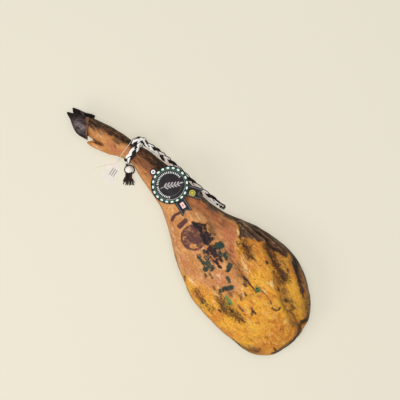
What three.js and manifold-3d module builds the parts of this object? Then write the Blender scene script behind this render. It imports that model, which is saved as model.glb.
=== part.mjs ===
// A whole dry-cured ham: the pig's hind leg with its hoof, tied with a plaited rope and hung with two labels.
// It lies on its flat meat side. Millimetres, +Z up, +X from the hoof to the butt end.
// The origin is under the middle of the leg, on the surface that it rests on.
import * as THREE from "three";
import { mergeVertices } from "three/addons/utils/BufferGeometryUtils.js";
import Module from "manifold-3d";

const wasm = await Module();
wasm.setup();

// ---- driving dimensions ----
const gap = 0.3; // left between pieces that touch
const floorGap = 0.3; // under the light pieces that lie beside the leg

const leg = { rings: 60, sides: 32, roundness: 2.12, widestAt: 0.46 };
const dewclaw = { radius: 7.6, rootRadius: 4.2, tipRadius: 4.0 };
const rope = { halfWidth: 8.7, halfThickness: 4.4, sides: 10 };
const collar = { x: -213.5, lean: -0.2, halfThickness: 3.2, steps: 32 };
const hitch = { at: [-216, 46, 72], radii: [10.5, 8.5, 13] };
const tassel = { knotRadius: 10, knotAt: [-193, -25], cordRadius: 2.5, fringeEnd: [-163, -57] };
const label = { at: [-93, 25], discRadius: 46.6, scallops: 44, scallopDepth: 1, thickness: 0.9 };
const labelPose = { turn: 9.4, slope: 7.2, height: 105.2 }; // degrees, degrees, height of the disc's middle
const labelTab = { distance: 52.5, radius: 8.7, holeRadius: 3.4 };
const labelTail = { turn: 20.5, width: 28, reach: 83, notch: 9 };
const eyelet = { flangeRadius: 5.4, boreRadius: 2.2, flange: 0.7 };
const tag = { at: [-219, -62], width: 33, length: 54, corner: 5, turn: -73, thickness: 0.7, holeRadius: 2, holeFromEnd: 5 };
const thread = { radius: 0.7, sides: 8, loopX: -233.5, loopLean: -0.21 };
const tie = { radius: 0.8 };

// Stations down the leg, from inside the hoof to the butt end. Each gives the section's two sides and its
// underside and top. An underside below zero is pressed flat by the surface that the ham lies on.
const legStations = [
  { x: -358, left: -22, right: -14, under: 46, top: 54 },
  { x: -352, left: -37, right: -6, under: 34, top: 68 },
  { x: -338, left: -42, right: 2, under: 27, top: 73.5 },
  { x: -320, left: -41, right: 9, under: 24, top: 75 },
  { x: -300, left: -38.5, right: 17, under: 23, top: 77 },
  { x: -280, left: -38, right: 22, under: 24, top: 80 },
  { x: -260, left: -35, right: 28, under: 25, top: 83 },
  { x: -240, left: -25, right: 31, under: 27, top: 86 },
  { x: -215, left: -14, right: 37, under: 29, top: 87 },
  { x: -190, left: -9, right: 45, under: 32, top: 90 },
  { x: -160, left: -16, right: 50, under: 33, top: 92.5 },
  { x: -130, left: -20, right: 55, under: 33, top: 95.5 },
  { x: -100, left: -24, right: 61, under: 31, top: 99.5 },
  { x: -70, left: -29, right: 64, under: 28, top: 104 },
  { x: -40, left: -42, right: 64, under: 22, top: 109 },
  { x: -10, left: -57, right: 66, under: 15, top: 115 },
  { x: 20, left: -74, right: 70, under: 8, top: 121 },
  { x: 60, left: -95, right: 81, under: 0, top: 126 },
  { x: 100, left: -112, right: 101, under: -6, top: 130 },
  { x: 140, left: -126, right: 117, under: -9, top: 133 },
  { x: 180, left: -130.5, right: 127, under: -11, top: 134.5 },
  { x: 220, left: -131, right: 131, under: -11, top: 134.5 },
  { x: 260, left: -129, right: 129, under: -10, top: 132 },
  { x: 300, left: -124, right: 117, under: -7, top: 126 },
  { x: 330, left: -119, right: 99, under: -2, top: 116 },
  { x: 358, left: -108, right: 80, under: 5, top: 102 },
  { x: 376, left: -93, right: 63, under: 15, top: 90 },
  { x: 386, left: -80, right: 48, under: 23, top: 82 },
  { x: 393, left: -64, right: 26, under: 32, top: 71 },
  { x: 400, left: -32, right: 2, under: 46, top: 58 },
];

// Stations down each hoof claw, from its tip to the coronet, where the horn ends on a slanting edge.
const outerClawStations = [
  { x: -399, left: -40, right: -37, under: 58, top: 62, slant: 0 },
  { x: -393, left: -43, right: -33, under: 55, top: 66, slant: 0 },
  { x: -381, left: -46, right: -25.5, under: 51, top: 71, slant: 0 },
  { x: -368, left: -52, right: -18.5, under: 49.5, top: 75.5, slant: -0.1 },
  { x: -351, left: -57.5, right: -12, under: 49, top: 79, slant: -0.4 },
  { x: -334, left: -49.5, right: -6, under: 49, top: 80, slant: -0.88 },
];
const innerClawStations = [
  { x: -400, left: -23, right: -20, under: 37, top: 41, slant: 0 },
  { x: -393, left: -28, right: -16.5, under: 32, top: 44, slant: 0 },
  { x: -381, left: -34, right: -11, under: 27, top: 46.5, slant: 0 },
  { x: -366, left: -41, right: -4.5, under: 23, top: 47.5, slant: -0.1 },
  { x: -350, left: -46, right: 3, under: 20, top: 48, slant: -0.25 },
  { x: -337, left: -48, right: 6, under: 19, top: 48, slant: -0.4 },
];

// Routes of the cords' middles, each from where it leaves the ham.
const ropeRoute = [
  [-205, 51.5, 69], [-196, 53.5, 66], [-187, 55.5, 60], [-178, 57.5, 52], [-169, 59, 43], [-160, 60, 34],
  [-151, 61, 25.5], [-142, 62, 18], [-133, 63, 12], [-124, 64, 8], [-114, 65, 5.6], [-103, 65.8, 4.8],
  [-91, 66.5, 4.7], [-78, 67.2, 4.7], [-64, 68.2, 4.7], [-50, 69.6, 4.7], [-36, 71.2, 4.7], [-22, 73, 4.7],
  [-8, 75.4, 4.7], [4, 77.6, 4.7], [15, 79.6, 4.7], [24, 81.2, 4.7],
];
const tasselRoute = [
  [-209, -14.5, 28.5], [-208.6, -16.8, 25.4], [-207.4, -19, 21.6], [-205.4, -21, 17.8], [-202.8, -22.5, 14.4],
];
const threadRoute = [
  [-228.2, -23.4, 50], [-228.2, -24, 46], [-228.2, -24.6, 38], [-228.1, -25.2, 28], [-228, -26, 18], [-227.9, -27.6, 10],
  [-227.7, -30.6, 4.4], [-227.4, -34.4, 2.6], [-227, -38, 2.3], [-228.6, -42.6, 2.25], [-232, -47, 2.2], [-236.4, -53, 2.2],
  [-241, -60, 1.9], [-246, -69, 1.3], [-251, -78.5, 1], [-256, -88, 1],
];

const tieRoute = [
  [-144.6, 16.4, 101], [-144.4, 16.4, 98], [-141, 20.3, 96], [-136, 28.4, 95.4], [-131, 36, 93.6], [-126, 43.1, 90.4],
  [-121, 49.4, 86.1], [-116, 54.8, 80.7], [-111, 58.9, 74.3], [-106, 61.8, 66.5], [-104.4, 63.4, 56], [-103.8, 64.2, 45],
  [-103.5, 64.7, 34], [-103.2, 65.3, 22], [-103, 65.8, 10.5],
];

// ---- helpers ----
const xyz = (p) => new THREE.Vector3(...p);

// One closed surface through a row of rings with equally many points. A closed row joins its last ring to its
// first; an open one gets a flat fan over each end.
function loft(rings, closed = false) {
  const sides = rings[0].length;
  const points = rings.flat();
  const index = [];
  const joins = closed ? rings.length : rings.length - 1;
  for (let k = 0; k < joins; k++) {
    for (let j = 0; j < sides; j++) {
      const here = k * sides;
      const next = ((k + 1) % rings.length) * sides;
      const j2 = (j + 1) % sides;
      index.push(here + j, here + j2, next + j, here + j2, next + j2, next + j);
    }
  }
  if (!closed) {
    const middle = (ring) => ring.reduce((sum, p) => sum.add(p), new THREE.Vector3()).divideScalar(sides);
    const first = points.push(middle(rings[0])) - 1;
    const last = points.push(middle(rings.at(-1))) - 1;
    const end = (rings.length - 1) * sides;
    for (let j = 0; j < sides; j++) {
      const j2 = (j + 1) % sides;
      index.push(first, j2, j, last, end + j, end + j2);
    }
  }
  return new THREE.BufferGeometry().setFromPoints(points).setIndex(index);
}

// A cord: an oval section carried along a smooth route.
function cord(route, halfWidth, halfThickness, sides, steps) {
  const section = new THREE.Shape().absellipse(0, 0, halfWidth, halfThickness, 0, 2 * Math.PI);
  const extrudePath = new THREE.CatmullRomCurve3(route);
  return new THREE.ExtrudeGeometry(section, { extrudePath, steps, curveSegments: sides / 2, bevelEnabled: false });
}

function ringOf(sides, place) {
  return Array.from({ length: sides }, (_, j) => {
    const turn = (2 * Math.PI * j) / sides;
    return place(Math.cos(turn), Math.sin(turn));
  });
}

function toSolid(geometry) {
  const bare = new THREE.BufferGeometry().setAttribute("position", geometry.getAttribute("position"));
  if (geometry.index) bare.setIndex(geometry.index);
  const merged = mergeVertices(bare, 1e-4);
  const triVerts = new Uint32Array(merged.index.array);
  return new wasm.Manifold(new wasm.Mesh({ numProp: 3, vertProperties: merged.attributes.position.array, triVerts }));
}

function toGeometry(solid) {
  const { vertProperties, triVerts } = solid.getMesh();
  return new THREE.BufferGeometry()
    .setAttribute("position", new THREE.BufferAttribute(new Float32Array(vertProperties), 3))
    .setIndex(new THREE.BufferAttribute(new Uint32Array(triVerts), 1));
}

// ---- sections ----
// The station part-way down a list of them, where at runs from 0 to 1.
function stationAt(stations, at) {
  const station = {};
  for (const key of Object.keys(stations[0])) {
    const curve = new THREE.SplineCurve(stations.map((s, k) => new THREE.Vector2(k, s[key])));
    station[key] = curve.getPoint(at).y;
  }
  return station;
}

// A point on a station's outline: a rounded oval, grown by grow all round.
function outlinePoint(station, c, s, grow = 0, roundness = leg.roundness) {
  const power = (v) => Math.sign(v) * Math.abs(v) ** (2 / roundness);
  const midY = (station.left + station.right) / 2;
  const midZ = station.under + leg.widestAt * (station.top - station.under);
  const height = (s > 0 ? station.top - midZ : midZ - station.under) + grow;
  const y = midY + ((station.right - station.left) / 2 + grow) * power(c);
  const z = Math.max(midZ + height * power(s), -grow);
  return new THREE.Vector3(station.x - (station.slant ?? 0) * (midY - y), y, z);
}

// The leg's own outline at a given x, found by halving.
function legStationAtX(x) {
  let low = 0;
  let high = 1;
  for (let k = 0; k < 30; k++) {
    const middle = (low + high) / 2;
    if (stationAt(legStations, middle).x < x) low = middle;
    else high = middle;
  }
  return stationAt(legStations, low);
}

function outlineLoft(stations, count, sides, grow = 0, roundness = leg.roundness) {
  const rings = Array.from({ length: count }, (_, k) => {
    const station = stationAt(stations, k / (count - 1));
    return ringOf(sides, (c, s) => outlinePoint(station, c, s, grow, roundness));
  });
  return loft(rings);
}

// A band round the shank: an oval section carried round the leg's outline, leaning along x as it goes.
function bandRound(band, halfWidth, halfThickness, sides, steps, clearance) {
  const middleStation = legStationAtX(band.x);
  const midY = (middleStation.left + middleStation.right) / 2;
  const along = new THREE.Vector3(1, 0, 0);
  const rings = Array.from({ length: steps }, (_, k) => {
    const turn = (2 * Math.PI * k) / steps;
    const [c, s] = [Math.cos(turn), Math.sin(turn)];
    const station = legStationAtX(band.x + band.lean * (outlinePoint(middleStation, c, s).y - midY));
    const skin = outlinePoint(station, c, s);
    const middle = outlinePoint(station, c, s, clearance + halfThickness);
    const outward = middle.clone().sub(skin).normalize();
    return ringOf(sides, (a, b) =>
      middle.clone().addScaledVector(along, halfWidth * a).addScaledVector(outward, halfThickness * b),
    );
  });
  return loft(rings, true);
}

// ---- the leg and its hoof ----
// A dewclaw: a blunt horn of skin from inside the leg to its tip.
function dewclawSolid(base, tip) {
  const reach = xyz(tip).sub(xyz(base));
  const length = reach.length();
  const outline = [
    new THREE.Vector2(0, 0),
    new THREE.Vector2(dewclaw.rootRadius, 0),
    new THREE.Vector2(dewclaw.radius * 0.9, length * 0.18),
    new THREE.Vector2(dewclaw.radius, length * 0.45),
    new THREE.Vector2(dewclaw.radius * 0.87, length * 0.78),
    new THREE.Vector2(dewclaw.tipRadius, length * 0.94),
    new THREE.Vector2(0, length),
  ];
  const horn = new THREE.LatheGeometry(outline, 20);
  horn.applyQuaternion(new THREE.Quaternion().setFromUnitVectors(new THREE.Vector3(0, 1, 0), reach.normalize()));
  return toSolid(horn.translate(...base));
}

const legBody = toSolid(outlineLoft(legStations, leg.rings, leg.sides));
const legGrown = toSolid(outlineLoft(legStations, leg.rings, leg.sides, gap + 0.1));
const legSolid = legBody
  .add(dewclawSolid([-240, -21.5, 60], [-314.5, -54.5, 58]))
  .add(dewclawSolid([-242, -19, 46], [-312, -48, 35]));

const clawGeometry = (stations) =>
  toGeometry(toSolid(outlineLoft(stations, 14, 24, 0, 2.1)).subtract(legGrown));

// ---- the plaited rope ----
function ropeCollarGeometry() {
  const band = toSolid(bandRound(collar, rope.halfWidth, collar.halfThickness, rope.sides, collar.steps, gap));
  const lump = new THREE.SphereGeometry(1, 20, 14).scale(...hitch.radii).translate(...hitch.at);
  return toGeometry(band.add(toSolid(lump)).subtract(legGrown));
}

const ropeTailGeometry = () => cord(ropeRoute.map(xyz), rope.halfWidth, rope.halfThickness, rope.sides, 40);

const ropeEndGeometry = () => new THREE.SphereGeometry(1, 18, 12).scale(7.6, 6.6, 5.6).translate(32.4, 82.6, 5.9);

// ---- the tassel ----
const tasselCordGeometry = () => cord(tasselRoute.map(xyz), tassel.cordRadius, tassel.cordRadius, 8, 12);

const tasselKnotGeometry = () =>
  new THREE.SphereGeometry(tassel.knotRadius, 20, 14).translate(...tassel.knotAt, tassel.knotRadius + floorGap);

function tasselFringeGeometry() {
  const end = new THREE.Vector2(...tassel.fringeEnd);
  const knot = new THREE.Vector2(...tassel.knotAt);
  const direction = end.clone().sub(knot).normalize();
  const start = knot.clone().addScaledVector(direction, tassel.knotRadius + gap + 0.2);
  const steps = 6;
  const rings = Array.from({ length: steps + 1 }, (_, k) => {
    const at = k / steps;
    const middle = start.clone().lerp(end, at);
    const spread = 5 + 7 * Math.sin(0.75 * Math.PI * at);
    const height = 5 - 1.6 * at;
    return ringOf(10, (c, s) =>
      new THREE.Vector3(middle.x - direction.y * spread * c, middle.y + direction.x * spread * c, floorGap + height + height * s),
    );
  });
  return loft(rings);
}

// ---- the round label ----
// The card's outline is drawn flat, with +X towards its two tails, then laid on the leg.
function labelShape() {
  const half = labelTail.width / 2;
  const tabHalf = labelTab.radius * 0.75;
  const discPoint = (turn) => {
    const edge = label.discRadius + label.scallopDepth * Math.abs(Math.sin((turn * label.scallops) / 2));
    return new THREE.Vector2(edge * Math.cos(turn), edge * Math.sin(turn));
  };
  const tailPoint = (side, along, across) =>
    new THREE.Vector2(along, across).rotateAround(new THREE.Vector2(), THREE.MathUtils.degToRad(side * labelTail.turn));
  const tail = (side) => [
    tailPoint(side, 44, -half),
    tailPoint(side, labelTail.reach, -half),
    tailPoint(side, labelTail.reach - labelTail.notch, 0),
    tailPoint(side, labelTail.reach, half),
    tailPoint(side, 44, half),
  ];
  const rim = (from, to, steps) =>
    Array.from({ length: steps + 1 }, (_, k) => discPoint(from + ((to - from) * k) / steps));
  const tabStart = Math.PI - Math.asin(tabHalf / label.discRadius);
  const tab = Array.from({ length: 15 }, (_, k) => {
    const turn = 0.68 * Math.PI - ((k / 14) * 1.36) * Math.PI + Math.PI;
    return new THREE.Vector2(labelTab.radius * Math.cos(-turn) - labelTab.distance, labelTab.radius * Math.sin(-turn));
  });
  const tailEdge = THREE.MathUtils.degToRad(labelTail.turn + 19);
  const shape = new THREE.Shape([
    ...tail(-1),
    ...tail(1),
    ...rim(tailEdge, tabStart, 66),
    ...tab,
    ...rim(2 * Math.PI - tabStart, 2 * Math.PI - tailEdge, 66),
  ]);
  shape.holes.push(new THREE.Path().absarc(-labelTab.distance, 0, labelTab.holeRadius, 0, 2 * Math.PI, true));
  return shape;
}

function layLabel(geometry) {
  const slope = THREE.MathUtils.degToRad(labelPose.slope);
  const turn = THREE.MathUtils.degToRad(labelPose.turn);
  return geometry.rotateZ(turn).rotateY(-slope).translate(...label.at, labelPose.height);
}

const labelGeometry = () =>
  layLabel(new THREE.ExtrudeGeometry(labelShape(), { depth: label.thickness, bevelEnabled: false, curveSegments: 20 }));

// A flanged ring pressed through the tab's hole.
function eyeletGeometry() {
  const low = -eyelet.flange - 0.1;
  const high = label.thickness + eyelet.flange + 0.1;
  const barrel = labelTab.holeRadius - gap;
  const outline = [
    [eyelet.boreRadius, low],
    [eyelet.flangeRadius, low],
    [eyelet.flangeRadius, -gap],
    [barrel, -gap],
    [barrel, label.thickness + gap],
    [eyelet.flangeRadius, label.thickness + gap],
    [eyelet.flangeRadius, high],
    [eyelet.boreRadius, high],
    [eyelet.boreRadius, low],
  ].map((p) => new THREE.Vector2(...p));
  const ring = new THREE.LatheGeometry(outline, 28).rotateX(Math.PI / 2).translate(-labelTab.distance, 0, 0);
  return layLabel(ring);
}

// The label's tie drops through the eyelet, follows the leg under the card, and goes down to the rope.
const tieGeometry = () => cord(tieRoute.map(xyz), tie.radius, tie.radius, 8, 38);

// ---- the small paper tag ----
function tagGeometry() {
  const { width, length, corner } = tag;
  const shape = new THREE.Shape();
  shape.moveTo(-length / 2 + corner * 2, -width / 2);
  shape.lineTo(length / 2 - corner, -width / 2);
  shape.absarc(length / 2 - corner, -width / 2 + corner, corner, -Math.PI / 2, 0);
  shape.absarc(length / 2 - corner, width / 2 - corner, corner, 0, Math.PI / 2);
  shape.lineTo(-length / 2 + corner * 2, width / 2);
  shape.lineTo(-length / 2, width / 2 - corner * 2);
  shape.lineTo(-length / 2, -width / 2 + corner * 2);
  shape.holes.push(new THREE.Path().absarc(-length / 2 + tag.holeFromEnd, 0, tag.holeRadius, 0, 2 * Math.PI, true));
  const card = new THREE.ExtrudeGeometry(shape, { depth: tag.thickness, bevelEnabled: false, curveSegments: 6 });
  return card.rotateZ(THREE.MathUtils.degToRad(tag.turn)).translate(...tag.at, floorGap);
}

const threadLoopGeometry = () =>
  toGeometry(
    toSolid(
      bandRound({ x: thread.loopX, lean: thread.loopLean }, thread.radius, thread.radius, thread.sides, 32, 0.9),
    ).subtract(legGrown),
  );

const threadGeometry = () => cord(threadRoute.map(xyz), thread.radius, thread.radius, thread.sides, 42);

// ---- finishes ----
const finish = (color, roughness) => new THREE.MeshStandardMaterial({ color, roughness, metalness: 0 });
const finishes = {
  curedMeat: finish(0xc07a34, 0.5),
  horn: finish(0x2a2221, 0.35),
  rope: finish(0xe8e2d8, 0.85),
  blackYarn: finish(0x1c1815, 0.9),
  labelCard: finish(0x24201f, 0.45),
  eyelet: finish(0xe9e2e4, 0.4),
  paper: finish(0xf0ece4, 0.8),
  thread: finish(0xeee3d2, 0.8),
};

function piece(name, geometry, material) {
  const mesh = new THREE.Mesh(geometry, material);
  mesh.name = name;
  return mesh;
}

const ham = new THREE.Group();
ham.add(
  piece("leg", toGeometry(legSolid), finishes.curedMeat),
  piece("outer_claw", clawGeometry(outerClawStations), finishes.horn),
  piece("inner_claw", clawGeometry(innerClawStations), finishes.horn),
  piece("rope_collar", ropeCollarGeometry(), finishes.rope),
  piece("rope_tail", ropeTailGeometry(), finishes.rope),
  piece("rope_end_knot", ropeEndGeometry(), finishes.rope),
  piece("tassel_cord", tasselCordGeometry(), finishes.blackYarn),
  piece("tassel_knot", tasselKnotGeometry(), finishes.rope),
  piece("tassel_fringe", tasselFringeGeometry(), finishes.blackYarn),
  piece("round_label", labelGeometry(), finishes.labelCard),
  piece("label_eyelet", eyeletGeometry(), finishes.eyelet),
  piece("label_tie", tieGeometry(), finishes.blackYarn),
  piece("paper_tag", tagGeometry(), finishes.paper),
  piece("tag_thread_loop", threadLoopGeometry(), finishes.thread),
  piece("tag_thread", threadGeometry(), finishes.thread),
);

export default ham;
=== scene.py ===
import math

import bmesh
import bpy
import numpy as np
from mathutils import Matrix, Vector
from mathutils.bvhtree import BVHTree


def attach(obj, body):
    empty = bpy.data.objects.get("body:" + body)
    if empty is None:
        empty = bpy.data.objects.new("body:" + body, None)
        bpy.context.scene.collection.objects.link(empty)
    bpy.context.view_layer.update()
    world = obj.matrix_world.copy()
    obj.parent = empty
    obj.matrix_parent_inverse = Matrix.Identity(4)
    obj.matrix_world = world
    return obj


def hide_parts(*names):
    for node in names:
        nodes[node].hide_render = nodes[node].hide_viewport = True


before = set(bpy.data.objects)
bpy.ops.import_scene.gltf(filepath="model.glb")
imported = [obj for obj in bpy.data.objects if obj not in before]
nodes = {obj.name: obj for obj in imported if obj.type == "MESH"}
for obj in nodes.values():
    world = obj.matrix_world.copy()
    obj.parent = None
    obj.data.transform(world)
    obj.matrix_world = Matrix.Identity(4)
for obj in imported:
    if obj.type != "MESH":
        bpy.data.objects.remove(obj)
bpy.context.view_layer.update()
scene = bpy.context.scene
scene.view_settings.view_transform = "Standard"
mm = 0.001
rng = np.random.default_rng(11)

# ---- camera: straight down on the ham, which lies aslant in the frame ----
cameraSet = {"over": (-15.8, 53.5), "turn": 47, "aimHeight": 65, "frameWidth": 990, "lens": 150}

lens = bpy.data.cameras.new("camera")
lens.lens = cameraSet["lens"]
lens.sensor_width = 36
lens.clip_end = 50
camera = bpy.data.objects.new("camera", lens)
scene.collection.objects.link(camera)
cameraHeight = cameraSet["aimHeight"] + cameraSet["frameWidth"] * lens.lens / lens.sensor_width
camera.location = Vector((*cameraSet["over"], cameraHeight)) * mm
camera.rotation_euler = (0, 0, math.radians(cameraSet["turn"]))
scene.camera = camera


# ---- small helpers ----
def toObject(bm, name, materials, smooth=True):
    mesh = bpy.data.meshes.new(name)
    bmesh.ops.recalc_face_normals(bm, faces=bm.faces)
    bm.to_mesh(mesh)
    bm.free()
    for made in materials:
        mesh.materials.append(made)
    mesh.polygons.foreach_set("use_smooth", [smooth] * len(mesh.polygons))
    piece = bpy.data.objects.new(name, mesh)
    scene.collection.objects.link(piece)
    return piece


def place(piece, slotName, *replaced):
    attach(piece, "root")
    if replaced:
        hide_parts(*replaced)
    return piece


def smoothRoute(route, spacing):
    # a smooth curve through given points, cut into even steps
    p = np.array(route, float)
    p = np.vstack([2 * p[0] - p[1], p, 2 * p[-1] - p[-2]])
    t = np.linspace(0, 1, 24, endpoint=False)[:, None]
    fine = [
        0.5 * (2 * b + (c - a) * t + (2 * a - 5 * b + 4 * c - d) * t**2 + (3 * b - a - 3 * c + d) * t**3)
        for a, b, c, d in zip(p, p[1:], p[2:], p[3:])
    ]
    fine = np.vstack(fine + [p[-2:-1]])
    run = np.concatenate([[0], np.cumsum(np.linalg.norm(np.diff(fine, axis=0), axis=1))])
    even = np.linspace(0, run[-1], max(2, round(run[-1] / spacing) + 1))
    return np.stack([np.interp(even, run, fine[:, k]) for k in range(3)], axis=1)


def routeLength(points):
    return float(np.linalg.norm(np.diff(points, axis=0), axis=1).sum())


def unit(v):
    return v / np.maximum(np.linalg.norm(v, axis=-1, keepdims=True), 1e-9)


def railFrames(points, lift=(0, 0, 1)):
    # along, sideways and upward directions at each point of a route
    along = unit(np.gradient(points, axis=0))
    lift = np.broadcast_to(np.array(lift, float), points.shape)
    side = unit(np.cross(lift, along))
    return along, side, np.cross(along, side)


def sweepTube(bm, points, ups, halfWidth, halfHeight, sides=10, material=0, closed=False):
    # an oval ring carried along points; its widths may change on the way
    count = len(points)
    halfWidth = np.broadcast_to(halfWidth, count)
    halfHeight = np.broadcast_to(halfHeight, count)
    along = bm.verts.layers.float.get("along") or bm.verts.layers.float.new("along")
    around = bm.verts.layers.float_vector.get("around") or bm.verts.layers.float_vector.new("around")
    tangent = unit(np.gradient(points, axis=0))
    if closed:
        tangent = unit(np.roll(points, -1, axis=0) - np.roll(points, 1, axis=0))
    side = unit(np.cross(ups, tangent))
    up = np.cross(tangent, side)
    run = np.concatenate([[0], np.cumsum(np.linalg.norm(np.diff(points, axis=0), axis=1))])

    def ringMatrix(k):
        m = Matrix.Identity(4)
        for row in range(3):
            m[row][0] = side[k][row] * halfWidth[k] * mm
            m[row][1] = up[k][row] * halfHeight[k] * mm
            m[row][2] = tangent[k][row] * mm
            m[row][3] = points[k][row] * mm
        return m

    ring = bmesh.ops.create_circle(bm, cap_ends=False, radius=1, segments=sides)["verts"]
    for v in ring:
        v[around] = v.co.copy()
    edges = list({e for v in ring for e in v.link_edges})
    firstEdges = edges
    before = ringMatrix(0)
    bmesh.ops.transform(bm, matrix=before, verts=ring)
    faces = []
    for k in range(1, count):
        made = bmesh.ops.extrude_edge_only(bm, edges=edges)["geom"]
        ring = [g for g in made if isinstance(g, bmesh.types.BMVert)]
        fresh = set(ring)
        edges = [g for g in made if isinstance(g, bmesh.types.BMEdge) and all(v in fresh for v in g.verts)]
        faces += [g for g in made if isinstance(g, bmesh.types.BMFace)]
        after = ringMatrix(k)
        bmesh.ops.transform(bm, matrix=after @ before.inverted(), verts=ring)
        for v in ring:
            v[along] = run[k]
        before = after
    if closed:
        faces += bmesh.ops.bridge_loops(bm, edges=firstEdges + edges)["faces"]
    else:
        faces += bmesh.ops.holes_fill(bm, edges=firstEdges, sides=0)["faces"]
        faces += bmesh.ops.holes_fill(bm, edges=edges, sides=0)["faces"]
    for f in faces:
        f.material_index = material


def plait(bm, points, ups, style, phase=0.0, ease=0.0):
    # three flat strands that cross over each other in turn; the last is black
    _, side, up = railFrames(points, ups)
    run = np.concatenate([[0], np.cumsum(np.linalg.norm(np.diff(points, axis=0), axis=1))])
    drawn = np.clip(np.minimum(run, run[-1] - run) / max(ease, 1e-3), 0, 1) * 0.55 + 0.45 if ease else 1.0
    for strand in range(3):
        t = 2 * np.pi * (run / style["period"] + strand / 3) + phase
        across = style["swing"] * np.sin(t) * drawn
        over = style["weave"] * np.sin(2 * t)
        centre = points + side * across[:, None] + up * over[:, None]
        # each strand is widest where it crosses the middle, and turns on its edge at the sides
        wide = style["strandWidth"] * (1 - 0.16 * np.abs(np.sin(t))) * (1 if strand < 2 else style["blackShare"])
        sweepTube(bm, centre, up, wide, style["strandThickness"], style["sides"], material=0 if strand < 2 else 1)
        if strand < 2:
            # a thin black yarn keeps to the white strand's edge
            edge = centre + side * (0.80 * wide)[:, None] + up * (0.55 * style["strandThickness"])
            sweepTube(bm, edge, up, style["edgeYarn"], style["edgeYarn"], 8, material=1)


# ---- shader helpers ----
def newMaterial(name):
    made = bpy.data.materials.new(name)
    made.use_nodes = True
    tree = made.node_tree
    return made, tree, tree.nodes["Principled BSDF"]


def addNode(tree, kind, inputs=None, **settings):
    made = tree.nodes.new(kind)
    for key, value in settings.items():
        setattr(made, key, value)
    for key, value in (inputs or {}).items():
        if isinstance(value, bpy.types.NodeSocket):
            tree.links.new(value, made.inputs[key])
        else:
            made.inputs[key].default_value = value
    return made


def maths(tree, operation, a, b=0.0, clamp=False):
    return addNode(tree, "ShaderNodeMath", {0: a, 1: b}, operation=operation, use_clamp=clamp).outputs[0]


def remap(tree, value, low, high, toLow=0.0, toHigh=1.0):
    inputs = {"Value": value, "From Min": low, "From Max": high, "To Min": toLow, "To Max": toHigh}
    return addNode(tree, "ShaderNodeMapRange", inputs, interpolation_type="SMOOTHSTEP").outputs[0]


def blendColour(tree, factor, a, b, mode="MIX"):
    a = a if isinstance(a, bpy.types.NodeSocket) else (*a, 1)
    b = b if isinstance(b, bpy.types.NodeSocket) else (*b, 1)
    return addNode(tree, "ShaderNodeMix", {0: factor, 6: a, 7: b}, data_type="RGBA", blend_type=mode).outputs[2]


def noiseAt(tree, vector, scale, detail=3.0, rough=0.55, distortion=0.0):
    inputs = {"Vector": vector, "Scale": scale, "Detail": detail, "Roughness": rough, "Distortion": distortion}
    return addNode(tree, "ShaderNodeTexNoise", inputs).outputs[0]


def objectPoint(tree, stretch=(1, 1, 1)):
    point = addNode(tree, "ShaderNodeTexCoord").outputs["Object"]
    return addNode(tree, "ShaderNodeMapping", {"Vector": point, "Scale": stretch}).outputs[0]


def readPaint(tree, name):
    # the four channels that a brushed attribute holds
    paint = addNode(tree, "ShaderNodeAttribute", attribute_name=name)
    split = addNode(tree, "ShaderNodeSeparateColor", {0: paint.outputs["Color"]})
    return split.outputs[0], split.outputs[1], split.outputs[2], paint.outputs["Alpha"]


def newGroup(name, inputs, outputs):
    tree = bpy.data.node_groups.new(name, "ShaderNodeTree")
    for label, kind, value in inputs:
        made = tree.interface.new_socket(label, in_out="INPUT", socket_type=kind)
        if value is not None:
            made.default_value = value
    for label, kind in outputs:
        tree.interface.new_socket(label, in_out="OUTPUT", socket_type=kind)
    return tree, tree.nodes.new("NodeGroupInput").outputs, tree.nodes.new("NodeGroupOutput").inputs


def useGroup(tree, group, inputs):
    made = tree.nodes.new("ShaderNodeGroup")
    made.node_tree = group
    for key, value in inputs.items():
        if isinstance(value, bpy.types.NodeSocket):
            tree.links.new(value, made.inputs[key])
        else:
            made.inputs[key].default_value = value
    return made.outputs


def bumpFrom(tree, height, distance, strength=1.0, normal=None):
    inputs = {"Height": height, "Distance": distance, "Strength": strength}
    if normal is not None:
        inputs["Normal"] = normal
    return addNode(tree, "ShaderNodeBump", inputs).outputs[0]


def makeFlecks():
    # ragged flecks: Amount runs from hardly any at 0 to crowded at 1
    group, put, out = newGroup(
        "flecks",
        [("Vector", "NodeSocketVector", None), ("Scale", "NodeSocketFloat", 300), ("Amount", "NodeSocketFloat", 0.3)],
        [("Mask", "NodeSocketFloat")],
    )
    cloud = noiseAt(group, put["Vector"], put["Scale"], 3, 0.65, 0.8)
    level = maths(group, "SUBTRACT", 0.72, maths(group, "MULTIPLY", put["Amount"], 0.24))
    group.links.new(remap(group, maths(group, "SUBTRACT", cloud, level), -0.01, 0.045), out["Mask"])
    return group


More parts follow.
